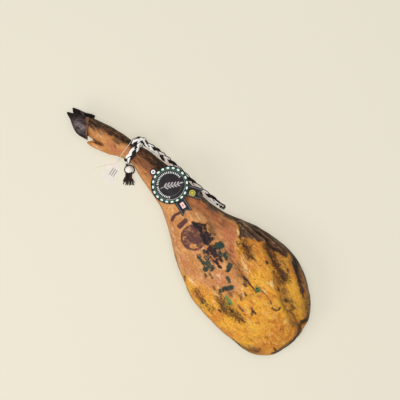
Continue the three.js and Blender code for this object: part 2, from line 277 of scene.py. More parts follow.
def makeYarn():
    # twisted yarn on a swept strand: Height for the bump, and Shade is painted shade between the plies
    group, put, out = newGroup(
        "yarn",
        [("Twist", "NodeSocketFloat", 1.2), ("Plies", "NodeSocketFloat", 4), ("Fuzz", "NodeSocketFloat", 0.3)],
        [("Height", "NodeSocketFloat"), ("Shade", "NodeSocketFloat")],
    )
    along = addNode(group, "ShaderNodeAttribute", attribute_name="along").outputs["Fac"]
    ring = addNode(group, "ShaderNodeAttribute", attribute_name="around").outputs["Vector"]
    around = addNode(group, "ShaderNodeSeparateXYZ", {0: ring})
    turn = maths(group, "MULTIPLY", maths(group, "ARCTAN2", around.outputs[1], around.outputs[0]), put["Plies"])
    wave = maths(group, "SINE", maths(group, "ADD", turn, maths(group, "MULTIPLY", along, put["Twist"])))
    fine = noiseAt(group, objectPoint(group), 1500, 3, 0.7)
    rounded = maths(group, "POWER", maths(group, "MULTIPLY", maths(group, "ADD", wave, 1.0), 0.5), 2.0)
    ply = maths(group, "SUBTRACT", 1.0, rounded)
    loose = maths(group, "MULTIPLY", maths(group, "SUBTRACT", fine, 0.5), put["Fuzz"])
    height = maths(group, "ADD", ply, loose)
    group.links.new(height, out["Height"])
    group.links.new(remap(group, height, 0.0, 0.6), out["Shade"])
    return group


flecksGroup = makeFlecks()
yarnGroup = makeYarn()


def yarnMaterial(name, light, dark, twist, plies, rough=0.85, bump=0.35):
    made, tree, shader = newMaterial(name)
    yarn = useGroup(tree, yarnGroup, {"Twist": twist, "Plies": plies, "Fuzz": 0.6})
    soil = useGroup(tree, flecksGroup, {"Vector": objectPoint(tree), "Scale": 110, "Amount": 0.35})["Mask"]
    # the dark colour is painted shade between the plies, and the soil flecks below take it too
    colour = blendColour(tree, yarn["Shade"], dark, light)
    colour = blendColour(tree, maths(tree, "MULTIPLY", soil, 0.4), colour, dark)
    tree.links.new(colour, shader.inputs["Base Color"])
    shader.inputs["Roughness"].default_value = rough
    shader.inputs["Specular IOR Level"].default_value = 0.15
    tree.links.new(bumpFrom(tree, yarn["Height"], bump * mm), shader.inputs["Normal"])
    return made


whiteYarn = yarnMaterial("white cotton", (1.0, 0.985, 0.96), (0.93, 0.88, 0.83), 1.5, 4, bump=0.22)
blackYarn = yarnMaterial("black cotton", (0.030, 0.022, 0.018), (0.006, 0.004, 0.003), 1.5, 4)
brownYarn = yarnMaterial("brown cotton", (0.075, 0.040, 0.028), (0.012, 0.007, 0.005), 1.5, 3)
creamTwine = yarnMaterial("cream twine", (0.94, 0.84, 0.70), (0.62, 0.50, 0.38), 3.2, 2, bump=0.15)
print("materials for the yarns are ready")

# ---- the plaited rope's free tail ----
ropeTail = {
    "route": [
        (-205, 51.5, 69), (-196, 53.5, 66), (-187, 55.5, 60), (-178, 57.5, 52), (-169, 59, 43), (-160, 60, 34),
        (-151, 61, 25.5), (-142, 62, 18), (-133, 63, 12), (-124, 64, 8), (-114, 65, 5.6), (-103, 65.8, 4.8),
        (-91, 66.5, 4.7), (-78, 67.2, 4.7), (-64, 68.2, 4.7), (-50, 69.6, 4.7), (-36, 71.2, 4.7), (-22, 73, 4.7),
        (-8, 75.4, 4.7), (4, 77.6, 4.7), (15, 79.6, 4.7), (24, 81.2, 4.7),
    ],
    "width": 17.4,
}
plaitStyle = {
    "period": 66, "swing": 4.6, "weave": 1.9, "strandWidth": 4.6, "strandThickness": 2.5, "blackShare": 1.05, "sides": 12,
    "edgeYarn": 1.15,
}

tailPath = smoothRoute(ropeTail["route"], 2.2)
bm = bmesh.new()
plait(bm, tailPath, (0, 0, 1), plaitStyle, phase=0.4, ease=18)
tail = place(toObject(bm, "rope_tail_plait", [whiteYarn, blackYarn]), "plaited_rope", "rope_tail")

# ---- the knot that ends it ----
endKnot = {"centre": (32, 82.8, 6.0), "radii": (6.0, 5.0, 3.2), "yarn": 2.1, "wisps": 9}


def knotLoop(bm, centre, radii, tilt, spin, yarn, material):
    # one closed turn of yarn, tilted about the rope's line
    t = np.linspace(0, 2 * np.pi, 26, endpoint=False)
    ring = np.stack([radii[0] * np.cos(t), radii[1] * np.sin(t), 0 * t], axis=1)
    turned = Matrix.Rotation(spin, 3, "Z") @ Matrix.Rotation(tilt, 3, "X")
    ring = ring @ np.array(turned).T
    sweepTube(bm, ring + centre, unit(ring) + 1e-4, yarn, yarn, 8, material, closed=True)


bm = bmesh.new()
knotCentre = np.array(endKnot["centre"], float)
for k, (tilt, spin, material) in enumerate([(1.2, 0.2, 0), (-1.1, 0.5, 1), (0.5, 1.3, 0), (1.6, 1.7, 1)]):
    knotLoop(bm, knotCentre, np.array(endKnot["radii"]) * (0.72, 0.72, 1), tilt, spin, endKnot["yarn"], material)
for k in range(endKnot["wisps"]):
    fan = rng.uniform(-0.7, 0.9)
    reach = rng.uniform(6, 9.5)
    start = knotCentre + (3, 0.6, rng.uniform(-2, 1))
    tip = start + (reach * math.cos(fan), reach * math.sin(fan), 0)
    tip[2] = rng.uniform(1.2, 4)
    wisp = smoothRoute([start, (start + tip) / 2 + (0, rng.uniform(-1, 1), 1.5), tip], 1.5)
    sweepTube(bm, wisp, np.tile((0, 0, 1.0), (len(wisp), 1)), 0.75, 0.75, 6, 1)
hook = smoothRoute([(8, 82, 9.5), (20, 84.5, 10.5), (30, 87, 9.5), (36.5, 89.5, 8), (39.5, 86, 6.5), (37.5, 81, 5), (34.5, 79, 3.5)], 1.5)
sweepTube(bm, hook, np.tile((0, 0, 1.0), (len(hook), 1)), 1.6, 1.6, 8, 1)
tailKnot = place(toObject(bm, "rope_tail_knot", [whiteYarn, blackYarn]), "plaited_rope", "rope_end_knot")

# ---- the small tag's hanging thread ----
tagThread = {
    "route": [
        (-228.2, -23.4, 50), (-228.2, -24, 46), (-228.2, -24.6, 38), (-228.1, -25.2, 28), (-228, -26, 18), (-227.9, -27.6, 10),
        (-227.7, -30.6, 4.4), (-227.4, -34.4, 2.6), (-227, -38, 2.3), (-228.6, -42.6, 2.25), (-232, -47, 2.2), (-236.4, -53, 2.2),
        (-241, -60, 1.9), (-246, -69, 1.3), (-251, -78.5, 1), (-256, -88, 1),
    ],
    "radius": 0.7,
}
threadPath = smoothRoute(tagThread["route"], 1.6)
bm = bmesh.new()
sweepTube(bm, threadPath, np.tile((1.0, 0, 0), (len(threadPath), 1)), tagThread["radius"], tagThread["radius"], 8)
thread = place(toObject(bm, "tag_hanging_thread", [creamTwine]), "tag_thread", "tag_thread")

# ---- the round label's tie, under the card ----
labelTie = {
    "route": [
        (-144.6, 16.4, 101), (-144.4, 16.4, 98), (-141, 20.3, 96), (-136, 28.4, 95.4), (-131, 36, 93.6), (-126, 43.1, 90.4),
        (-121, 49.4, 86.1), (-116, 54.8, 80.7), (-111, 58.9, 74.3), (-106, 61.8, 66.5), (-104.4, 63.4, 56), (-103.8, 64.2, 45),
        (-103.5, 64.7, 34), (-103.2, 65.3, 22), (-103, 65.8, 10.5),
    ],
    "radius": 0.8,
}
tiePath = smoothRoute(labelTie["route"], 1.8)
bm = bmesh.new()
sweepTube(bm, tiePath, np.tile((1.0, 0, 0), (len(tiePath), 1)), labelTie["radius"], labelTie["radius"], 8)
tie = place(toObject(bm, "label_tie_cord", [blackYarn]), "black_yarn", "label_tie")
print("cords: rope", round(routeLength(tailPath)), "thread", round(routeLength(threadPath)), "tie", round(routeLength(tiePath)), "mm")


# ---- brushes: fields over the leg's points, in millimetres ----
def lumps(points, size, seed):
    # smooth noise between -1 and 1, with lumps about size apart
    cell = points / size + seed * 7.31
    base = np.floor(cell).astype(np.int64)
    f = cell - base
    f = f * f * (3 - 2 * f)
    total = np.zeros(len(points))
    for corner in range(8):
        step = np.array([corner & 1, corner >> 1 & 1, corner >> 2 & 1])
        key = (base + step) @ np.array([73856093, 19349663, 83492791])
        key = ((key ^ (key >> 13)) * 1274126177) & 0x7FFFFFFF
        value = ((key ^ (key >> 16)) % 65536) / 32768 - 1
        total += value * np.prod(np.where(step, f, 1 - f), axis=1)
    return total


def fractal(points, size, seed, octaves=3):
    return sum(lumps(points, size / 2**k, seed + k) / 2**k for k in range(octaves)) / 1.75


def distanceTo(flat, route):
    # distance from each point to a line of given points
    nearest = np.full(len(flat), 1e9)
    for a, b in zip(route, route[1:]):
        a, b = np.array(a, float), np.array(b, float)
        d = b - a
        t = np.clip(((flat - a) @ d) / max(d @ d, 1e-9), 0, 1)
        nearest = np.minimum(nearest, np.linalg.norm(flat - a - t[:, None] * d, axis=1))
    return nearest


def brush(flat, strokes, crisp=2.0):
    # strokes are (route, width, strength); the result is the strongest at each point
    field = np.zeros(len(flat))
    for route, width, strength in strokes:
        fade = np.clip(0.5 + crisp * (0.5 - distanceTo(flat, route) / width), 0, 1)
        field = np.maximum(field, strength * fade * fade * (3 - 2 * fade))
    return field


def dabs(flat, marks):
    # plain rounded dabs: (centre, half sizes, degrees turned, strength)
    field = np.zeros(len(flat))
    for centre, half, turned, strength in marks:
        a = math.radians(turned)
        off = flat - np.array(centre, float)
        u = (off[:, 0] * math.cos(a) + off[:, 1] * math.sin(a)) / half[0]
        v = (off[:, 1] * math.cos(a) - off[:, 0] * math.sin(a)) / half[1]
        field = np.maximum(field, strength * (1 - ramp((u**4 + v**4) ** 0.25, 0.7, 1.3)))
    return field


def fromFarEdge(points, step=8.0):
    # how far in each point lies from the leg's far outline, seen from above
    slot = ((points[:, 0] - points[:, 0].min()) / step).astype(int)
    edge = np.full(slot.max() + 1, -1e3)
    np.maximum.at(edge, slot, points[:, 1])
    middles = points[:, 0].min() + step * (np.arange(len(edge)) + 0.5)
    return np.interp(points[:, 0], middles, edge) - points[:, 1]


def insideOf(flat, outline, soft):
    # 1 inside an outline and 0 outside, with an edge soft wide
    ring = list(outline) + [outline[0]]
    inside = np.zeros(len(flat), bool)
    for (x0, y0), (x1, y1) in zip(ring, ring[1:]):
        crosses = (y0 > flat[:, 1]) != (y1 > flat[:, 1])
        inside ^= crosses & (flat[:, 0] < (x1 - x0) * (flat[:, 1] - y0) / ((y1 - y0) or 1e-9) + x0)
    signed = np.where(inside, 1, -1) * distanceTo(flat, ring)
    fade = np.clip(0.5 + signed / soft, 0, 1)
    return fade * fade * (3 - 2 * fade)


def ramp(value, low, high):
    t = np.clip((value - low) / (high - low), 0, 1)
    return t * t * (3 - 2 * t)


# ---- the leg ----
# every stroke below is (route, width, strength) in millimetres on the leg, seen from above
legSet = {
    "voxel": 2.2,
    "skinOutline": [
        (-420, -90), (-420, 90), (-60, 90), (20, 84), (70, 78), (96, 72), (117, 60), (126, 46), (148, 33), (165, 22),
        (182, 8), (205, 0), (216, -20), (218, -42), (200, -60), (178, -70), (160, -82), (128, -96), (100, -98),
        (74, -104), (20, -110), (-60, -90),
    ],
    "leanAreas": [  # bared dark meat along the far edge, as outlines
        [
            (40, 72), (62, 78), (80, 80), (100, 77), (110, 69), (119, 61), (125, 70), (130, 80), (146, 83), (158, 88), (164, 96),
            (170, 102), (190, 104), (215, 105), (230, 110), (236, 118), (228, 126), (200, 140), (40, 110),
        ],
        [
            (243, 128), (252, 119), (262, 111), (276, 101), (290, 93), (304, 87), (316, 82), (330, 75), (338, 78), (326, 90),
            (308, 98), (290, 110), (272, 121), (258, 132),
        ],
    ],
    "leanStrips": [  # the darkest threads in it
        ([(70, 86), (100, 99), (130, 110), (165, 121)], 5, 1.0),
        ([(112, 101), (140, 103), (160, 107), (190, 108), (228, 115)], 7, 1.0),
        ([(150, 116), (190, 121), (224, 121)], 8, 0.9),
        ([(74, 82), (96, 88), (124, 88), (158, 91)], 4.5, 1.0),
        ([(100, 78), (110, 72), (117, 64)], 7, 0.8),
        ([(254, 120), (270, 113), (286, 103), (302, 94)], 9, 1.0),
        ([(309, 93), (316, 89), (324, 86)], 6, 0.7),
    ],
    "leanTan": [
        ([(64, 84), (96, 94), (130, 98), (166, 102)], 5, 0.62),
        ([(100, 103), (140, 109), (180, 114), (226, 118)], 3, 0.52),
        ([(90, 84), (124, 84), (150, 87)], 3, 0.52),
        ([(236, 124), (262, 119), (286, 108)], 3.5, 0.55),
    ],
    "farShade": [  # how deep the dark far side reaches in, along x: its smoke colour and painted shade
        (-352, 30), (-337, 30), (-317, 29), (-295, 30), (-282, 30), (-270, 26), (-252, 25), (-237, 22), (-222, 22),
        (-200, 38), (-170, 38), (-140, 35), (-100, 30), (-60, 24), (-20, 19), (20, 17), (60, 13), (100, 9), (420, 7),
    ],
    "nearShade": [(-352, 3), (-200, 3), (-60, 3.5), (60, 5), (200, 5), (420, 6)],
    # dark marks: some are real dark lines, and those along the grooves and the butt's rim are painted shade in the
    # creases
    "darkBandsAndCreaseShade": [
        ([(178, 101), (188, 94), (204, 88), (220, 84)], 8, 0.55),
        ([(218, 85), (232, 82), (250, 77), (268, 75)], 11, 0.55),
        ([(188, 108), (210, 110), (224, 108)], 8, 0.45),
        ([(42, 30), (56, 24), (68, 22)], 14, 0.4),
        ([(334, 33), (352, 29), (374, 23)], 9, 0.32),
        ([(380, 56), (381, 42), (384, 26)], 10, 1.0),
        ([(386, 24), (393, 6), (399, -14), (398, -34), (392, -58), (384, -76)], 6.5, 0.95),
        ([(292, -125), (315, -123), (336, -122)], 5, 1.0),
        ([(332, -122), (348, -111), (357, -94)], 14, 0.40),
        ([(194, 4), (206, 3), (225, 2), (242, 1)], 4.6, 1.0),
        ([(92, 21), (112, 16), (144, 10)], 3.6, 0.45),
        ([(144, 10), (170, 8), (192, 4)], 4, 0.6),
        ([(249, 13), (262, 14), (276, 12), (288, 10)], 4, 0.6),
        ([(310, 17), (313, 11), (307, 5), (297, 2)], 4.6, 0.7),
        ([(-306, -38), (-292, -35), (-280, -31)], 6, 0.85),
        ([(-296, -31), (-284, -28)], 6, 0.5),
        ([(206, -8), (214, -7)], 6, 0.7),
        ([(224, -21), (231, -23)], 6, 0.65),
        ([(224, -33), (232, -40)], 7, 0.6),
        ([(262, -33), (270, -37), (279, -36)], 6, 0.85),
        ([(273, -44), (277, -44)], 5, 0.7),
        ([(240, -53), (253, -54)], 6, 0.65),
        ([(264, -67), (270, -73), (278, -70)], 4, 0.45),
        ([(190, -80), (208, -84), (222, -90), (232, -88)], 6, 0.45),
        ([(233, -74), (238, -77)], 6, 0.7),
        ([(213, -97), (218, -96)], 6, 0.6),
        ([(150, -112), (173, -113)], 8, 0.4),
        ([(377, -62), (388, -64)], 6, 0.9),
        ([(341, -57), (345, -57)], 6, 0.6),
        ([(296, -51), (299, -51)], 6, 0.6),
        ([(273, 47), (278, 46)], 8, 0.6),
        ([(309, 40), (313, 40)], 7, 0.75),
        ([(254, 95), (258, 93)], 7, 0.5),
        ([(205, 69), (209, 69)], 7, 0.7),
        ([(235, 67), (240, 66)], 7, 0.55),
        ([(151, 72), (152, 64)], 5, 0.6),
        ([(138, 56), (146, 58), (152, 56), (158, 54)], 8, 0.6),
        ([(172, 50), (185, 52)], 5, 0.6),
        ([(120, 48), (130, 45)], 7, 0.6),
        ([(122, 24), (132, 24)], 4, 0.7),
        ([(126, -61), (131, -63)], 6, 0.6),
        ([(163, -66), (168, -69)], 8, 0.55),
        ([(96, -104), (104, -109)], 7, 0.6),
        ([(-347, 2), (-337, -6), (-328, -16)], 8, 0.6),
        ([(-262, -6), (-250, -12)], 8, 0.4),
        ([(-272, -3), (-255, 2)], 8, 0.45),
    ],
    "brownHazeAndShade": [  # wide soft browning, with painted shade in the valleys and along the far side, drawn with a gentle edge
        ([(250, 126), (292, 118), (330, 98), (352, 82), (376, 56)], 46, 1.2),
        ([(120, 96), (170, 104), (220, 112)], 26, 0.7),
        ([(176, 100), (212, 92), (252, 82)], 36, 0.85),
        ([(258, 66), (285, 52), (310, 42), (345, 32), (378, 22)], 34, 1.1),
        ([(132, 62), (150, 54), (166, 48)], 28, 0.95),
        ([(366, 20), (382, 8), (394, -6), (398, -30), (394, -60)], 16, 0.8),
        ([(226, -66), (244, -72), (256, -76)], 28, 0.9),
        ([(196, -80), (226, -88)], 16, 0.5),
        ([(146, -100), (156, -106), (168, -108)], 18, 0.7),
        ([(264, -68), (278, -70)], 14, 0.5),
        ([(290, -74), (310, -76)], 16, 0.35),
        ([(326, -120), (342, -110), (356, -96)], 26, 1.05),
        ([(190, -36), (200, -48), (206, -58)], 20, 0.8),
        ([(40, 34), (60, 26), (74, 20)], 26, 0.7),
        ([(-52, 26), (-20, 34), (20, 46), (60, 56)], 40, 0.75),
        ([(-2, 34), (30, 38), (60, 36)], 18, 0.75),
        ([(196, -6), (230, -14), (250, -8)], 18, 0.35),
        ([(286, 14), (306, 12)], 16, 0.5),
        ([(-200, 22), (-160, 26), (-120, 30), (-60, 38)], 56, 1.5),
        ([(-335, -6), (-300, 6), (-262, 18), (-240, 24)], 36, 1.3),
        ([(-290, -34), (-262, -34), (-240, -24)], 16, 0.3),
        ([(100, -60), (150, -66), (172, -76)], 12, 0.4),
        ([(98, 12), (130, 8), (165, 6), (205, -2)], 24, 0.95),
    ],
    "redAreas": [
        ([(-28, 44), (0, 50), (40, 56), (84, 54), (112, 44)], 34, 0.8),
        ([(118, 34), (138, 28), (156, 18)], 22, 1.0),
        ([(-196, 10), (-160, 12), (-130, 16)], 26, 1.0),
        ([(90, -16), (130, -24), (164, -44)], 24, 0.5),
        ([(190, -38), (204, -52)], 12, 0.8),
        ([(-268, -14), (-250, -18), (-238, -10)], 16, 0.7),
        ([(60, -78), (110, -80), (150, -76)], 20, 0.45),
        ([(-60, -30), (-20, -38), (20, -58)], 16, 0.3),
        ([(-230, 8), (-226, -4)], 12, 0.5),
    ],
    # pale marks: pale cream streaks, and painted highlights on crease crests and on the butt's slope
    "paleAndHighlightAreas": [
        ([(99, 71), (108, 67), (116, 61)], 3.4, 1.0),
        ([(119, 45), (129, 43), (138, 40)], 3.2, 0.9),
        ([(150, 38), (166, 30), (184, 20), (196, 14)], 13, 0.55),
        ([(196, -2), (204, -10), (214, -20), (226, -30)], 5.5, 0.7),
        ([(248, 45), (252, 40), (258, 40)], 5, 1.0),
        ([(252, 17), (262, 16)], 4.5, 0.95),
        ([(107, -99), (120, -98), (132, -94), (146, -97)], 3.6, 1.0),
        ([(168, -77), (186, -74), (206, -81), (222, -85)], 3.6, 0.85),
        ([(150, -90), (172, -86), (192, -90)], 8, 0.45),
        ([(338, 12), (360, -18), (350, -60)], 44, 0.2),
        ([(352, 18), (370, 14)], 12, 0.25),
        ([(372, -8), (378, -30), (374, -52)], 3, 0.3),
        ([(387, 24), (391, 12)], 5, 0.9),
        ([(-12, -44), (20, -62), (60, -84)], 8, 0.35),
        ([(-304, -22), (-285, -18)], 10, 0.25),
        ([(72, -20), (78, -28)], 5, 0.8),
        ([(140, -30), (160, -46)], 14, 0.45),
        ([(166, -57), (172, -60)], 5, 1.0),
        ([(178, -66), (190, -70)], 4, 0.7),
        ([(-6, 26), (8, 22), (20, 21)], 4, 0.7),
    ],
    "speckled": [  # where dark flecks gather
        ([(134, 60), (164, 48)], 28, 1.0),
        ([(180, 100), (215, 90), (244, 80), (270, 76)], 24, 1.15),
        ([(205, 70), (240, 64)], 14, 0.55),
        ([(228, 98), (262, 94)], 14, 0.6),
        ([(195, -76), (235, -82), (262, -72)], 30, 1.1),
        ([(140, -104), (175, -112), (200, -106)], 22, 0.9),
        ([(205, -40), (232, -30), (240, -16)], 20, 0.6),
        ([(262, -38), (300, -30)], 16, 0.4),
        ([(300, 8), (270, 6), (225, -6)], 18, 0.5),
        ([(376, 50), (384, 24), (396, -10), (392, -60)], 12, 1.0),
        ([(60, -64), (110, -64), (160, -68)], 14, 0.35),
        ([(120, 36), (150, 28)], 12, 0.4),
        ([(170, 64), (240, 40), (330, 50)], 40, 0.22),
        ([(200, -100), (300, -90), (350, -60)], 40, 0.2),
        ([(0, 40), (60, 36)], 20, 0.35),
        ([(-300, 4), (-250, 10)], 16, 0.4),
        ([(-190, 18), (-140, 24)], 16, 0.35),
    ],
    "grooves": [  # width, then depth
        ([(150, 10), (180, 6), (200, 3), (242, 1)], 7, 2.6),
        ([(249, 13), (268, 13), (286, 11)], 5, 1.2),
        ([(310, 16), (312, 9), (300, 2)], 6, 1.2),
        ([(184, 99), (212, 87), (240, 76), (270, 64), (300, 44), (335, 33), (374, 24)], 28, 6.0),
        ([(379, 60), (381, 42), (387, 24)], 8, 4.5),
        ([(78, 86), (120, 97), (165, 105), (222, 111)], 7, 2.2),
        ([(110, 104), (150, 112), (200, 117)], 5, 1.6),
        ([(90, 84), (125, 88), (155, 90)], 5, 1.4),
        ([(250, 120), (285, 103), (318, 87), (352, 70)], 12, 2.4),
        ([(94, 73), (117, 61), (134, 44), (160, 26)], 5, 1.3),
        ([(-306, -40), (-292, -36), (-278, -31)], 6, 2.4),
        ([(330, -117), (345, -107), (357, -90)], 7, 2.4),
        ([(292, -122), (330, -118)], 5, 1.6),
        ([(-330, 0), (-300, 6), (-262, 14)], 8, 1.6),
        ([(-195, 30), (-150, 34), (-110, 40)], 10, 1.6),
        ([(-190, 4), (-150, 6), (-120, 2)], 8, 1.2),
        ([(-10, 22), (30, 26), (75, 22)], 11, 1.6),
        ([(100, -98), (132, -96), (165, -80), (200, -78)], 6, 1.4),
        ([(110, -60), (150, -64), (175, -72)], 7, 1.2),
        ([(60, -70), (20, -52), (-30, -34)], 9, 1.0),
        ([(370, 8), (383, -14), (382, -50)], 7, 1.6),
        ([(226, -60), (240, -74), (256, -78)], 9, 1.2),
        ([(262, -35), (278, -37)], 5, 1.0),
        ([(-276, -16), (-252, -22), (-240, -12)], 9, 1.2),
    ],
    "ridges": [
        ([(97, 72), (108, 68), (117, 62)], 5, 1.3),
        ([(150, 18), (190, 12), (240, 9)], 9, 1.3),
        ([(-330, -12), (-300, -8), (-255, -2)], 14, 1.4),
        ([(-200, 18), (-150, 20), (-100, 26)], 14, 1.6),
        ([(247, 46), (260, 40)], 7, 1.2),
        ([(252, 18), (262, 17)], 6, 1.0),
        ([(-60, 46), (0, 50), (60, 54)], 16, 1.6),
        ([(196, -2), (212, -18), (228, -32)], 8, 1.2),
        ([(110, -102), (146, -100)], 7, 1.2),
        ([(200, -72), (240, -66)], 10, 1.0),
        ([(80, 92), (130, 98), (200, 108)], 5, 1.0),
    ],
    "underside": [
        (10, -40), (60, -78), (160, -104), (300, -98), (352, -40), (350, 30), (290, 84), (170, 94), (60, 56), (5, 10),
    ],
    "bone": [(318, 4), (328, -14), (350, -16), (360, 4), (350, 24), (328, 22)],
}

# smudged stamping ink: plain blots, dabs and a ring, with nothing to read in them
inkSet = {
    "ring": {"centre": (41, -20), "radius": 29.5, "width": 5.2},
    "wash": [
        ((43, -13), (27, 22), 0, 1.05), ((47, 0), (25, 12), 0, 1.1), ((24, -28), (9, 13), 20, 0.95), ((44, -43), (15, 6), 0, 0.85), ((62, -18), (8, 14), 0, 0.80),
        ((40, -31), (12, 9), 0, 0.62), ((-3, -17), (6.5, 15), 0, 1.3), ((84, -42), (8, 6), -30, 0.75),
        ((112, -29), (12, 5), -8, 0.55), ((100, -4), (9, 3), 0, 0.8),
    ],
    "washGaps": [((55, -35), (7.5, 5), 40, 0.95), ((25, -36), (2.2, 6), -30, 0.6), ((24, -14), (7, 2), 10, 0.5)],
    "sideArc": ([(-27, -4), (-31, -16), (-27, -30)], 8, 1.15),
    "blot": [
        (10, 2), (22, 12), (31, 20), (37, 27), (43, 21), (51, 15), (62, 16), (70, 13), (78, 18), (80, -6), (70, -13),
        (58, -10), (46, -4), (34, -1), (22, -2),
    ],
    "black": [
        ((89, -6), (8, 10), 0, 0.95), ((111, -8), (21, 4.2), -6, 1.0), ((110, -15), (16, 3.2), -6, 0.85), ((128, -22), (13, 3), -5, 1.0),
        ((94, -20), (10, 4), -20, 0.6), ((108, -23), (16, 3), -10, 0.5), ((158, -14), (3, 6), 0, 0.6), ((186, -52), (7, 4), 62, 0.7),
    ],
    "green": [
        ((97, 12), (13, 9.5), 62, 1.0), ((127, 5), (10, 4.6), -32, 1.0), ((115, -1), (10, 5), -25, 0.85), ((151, -3), (8, 6.5), -60, 0.95),
        ((155, -14), (3.6, 7), 0, 0.9), ((173, -28), (9.5, 4.2), -22, 1.0), ((187, -45), (17, 6), 62, 1.0), ((181, -60), (8, 5.5), 62, 0.95),
        ((84, -25), (7, 6), -30, 0.8), ((98, -32), (8, 5.5), -12, 0.7), ((112, -37), (8, 6), -12, 0.85), ((126, -38), (7, 8), -12, 0.85),
        ((88, -44), (8, 5), -12, 0.7), ((103, -46), (8, 5), -12, 0.8), ((117, -50), (7, 7), -12, 0.85), ((137, -53), (11, 3.2), -12, 0.55),
        ((180, -68), (8, 2.2), 0, 0.7), ((240, 8), (6, 4), 20, 0.5), ((219, -66), (3.4, 3.4), 0, 0.75), ((205, -64), (3, 3), 0, 0.5),
    ],
    "brightGreen": [
        ((206, -62), (10, 5), -10, 0.75), ((215, -63), (9, 5.5), -10, 1.0), ((214, -74), (6, 3), 0, 0.5), ((240, 8), (9, 5), 15, 0.95),
    ],
}


def copyOfNode(name, voxel):
    # a closed, evenly meshed copy of a CAD node, ready to be shaped
    bm = bmesh.new()
    bm.from_mesh(nodes[name].data)
    bmesh.ops.remove_doubles(bm, verts=bm.verts, dist=1e-6)
    rough = bpy.data.meshes.new(name + " rough")
    bm.to_mesh(rough)
    bm.free()
    holder = bpy.data.objects.new(name + " rough", rough)
    scene.collection.objects.link(holder)
    remesh = holder.modifiers.new("even", "REMESH")
    remesh.mode = "VOXEL"
    remesh.voxel_size = voxel * mm
    remesh.use_smooth_shade = True
    smooth = holder.modifiers.new("smooth", "SMOOTH")
    smooth.factor = 0.5
    smooth.iterations = 6
    shaped = bpy.data.meshes.new_from_object(holder.evaluated_get(bpy.context.evaluated_depsgraph_get()))
    bpy.data.objects.remove(holder)
    return shaped


def readPoints(mesh):
    points = np.zeros(len(mesh.vertices) * 3)
    mesh.vertices.foreach_get("co", points)
    normals = np.zeros(len(mesh.vertices) * 3)
    mesh.vertices.foreach_get("normal", normals)
    return points.reshape(-1, 3) / mm, normals.reshape(-1, 3)


def writePoints(mesh, points):
    mesh.vertices.foreach_set("co", (points * mm).ravel())
    mesh.update()


def writePaint(mesh, name, channels):
    layer = mesh.color_attributes.new(name, "FLOAT_COLOR", "POINT")
    layer.data.foreach_set("color", np.stack(channels, axis=1).astype(np.float32).ravel())


def finishSculpt(mesh, material, name):
    mesh.materials.clear()
    mesh.materials.append(material)
    mesh.polygons.foreach_set("use_smooth", [True] * len(mesh.polygons))
    piece = bpy.data.objects.new(name, mesh)
    scene.collection.objects.link(piece)
    return piece


def shapeLeg(points, normals):
    flat = points[:, :2]
    warped = flat + np.stack([fractal(points, 26, 3), fractal(points, 26, 4)], axis=1) * 3.0
    uneven = 1 + 0.45 * lumps(points, 11, 41)
    top = ramp(normals[:, 2], -0.15, 0.35)
    under = 1 - ramp(normals[:, 2], -0.8, -0.3)
    body = ramp(points[:, 0], -60, 120)
    push = 2.6 * fractal(points * (0.6, 1, 1), 60, 5) * body + 1.0 * fractal(points * (0.5, 1, 1), 24, 6)
    push += 1.15 * fractal(points * (0.22, 1, 1), 10, 8) * (0.5 + 0.5 * body)
    push -= 0.7 * ramp(lumps(points * (0.6, 1, 1), 6, 12), 0.35, 0.8) * body  # small pits
    push -= top * uneven * sum(depth * brush(warped, [(route, width, 1)]) for route, width, depth in legSet["grooves"])
    push += top * uneven * sum(height * brush(warped, [(route, width, 1)]) for route, width, height in legSet["ridges"])
    # the bared meat is drawn into long fibres
    bared = np.max([insideOf(warped, outline, 7) for outline in legSet["leanAreas"]], axis=0)
    push -= top * 1.1 * bared * ramp(lumps(points * (0.12, 1, 0.6), 4.4, 14), -0.3, 0.5)
    # the rind stands a little proud of the fat where it was cut back
    cutBack = insideOf(warped, legSet["skinOutline"], 16)
    push += top * 0.8 * (cutBack - 0.5) * ramp(points[:, 0], 20, 90)
    # the cut meat underneath is hollowed
    hollow = under * insideOf(flat, legSet["underside"], 34)
    push -= 2.2 * hollow * (1 - ramp(-points[:, 2], -4, -1.2))
    moved = points + normals * push[:, None]
    # what rests on the table stays flat
    rested = points[:, 2] < 3
    moved[rested, 2] = np.maximum(points[rested, 2], 0.25 + 0.5 * np.maximum(lumps(points[rested], 14, 9), 0))
    moved[:, 2] = np.maximum(moved[:, 2], 0.2)
    return moved


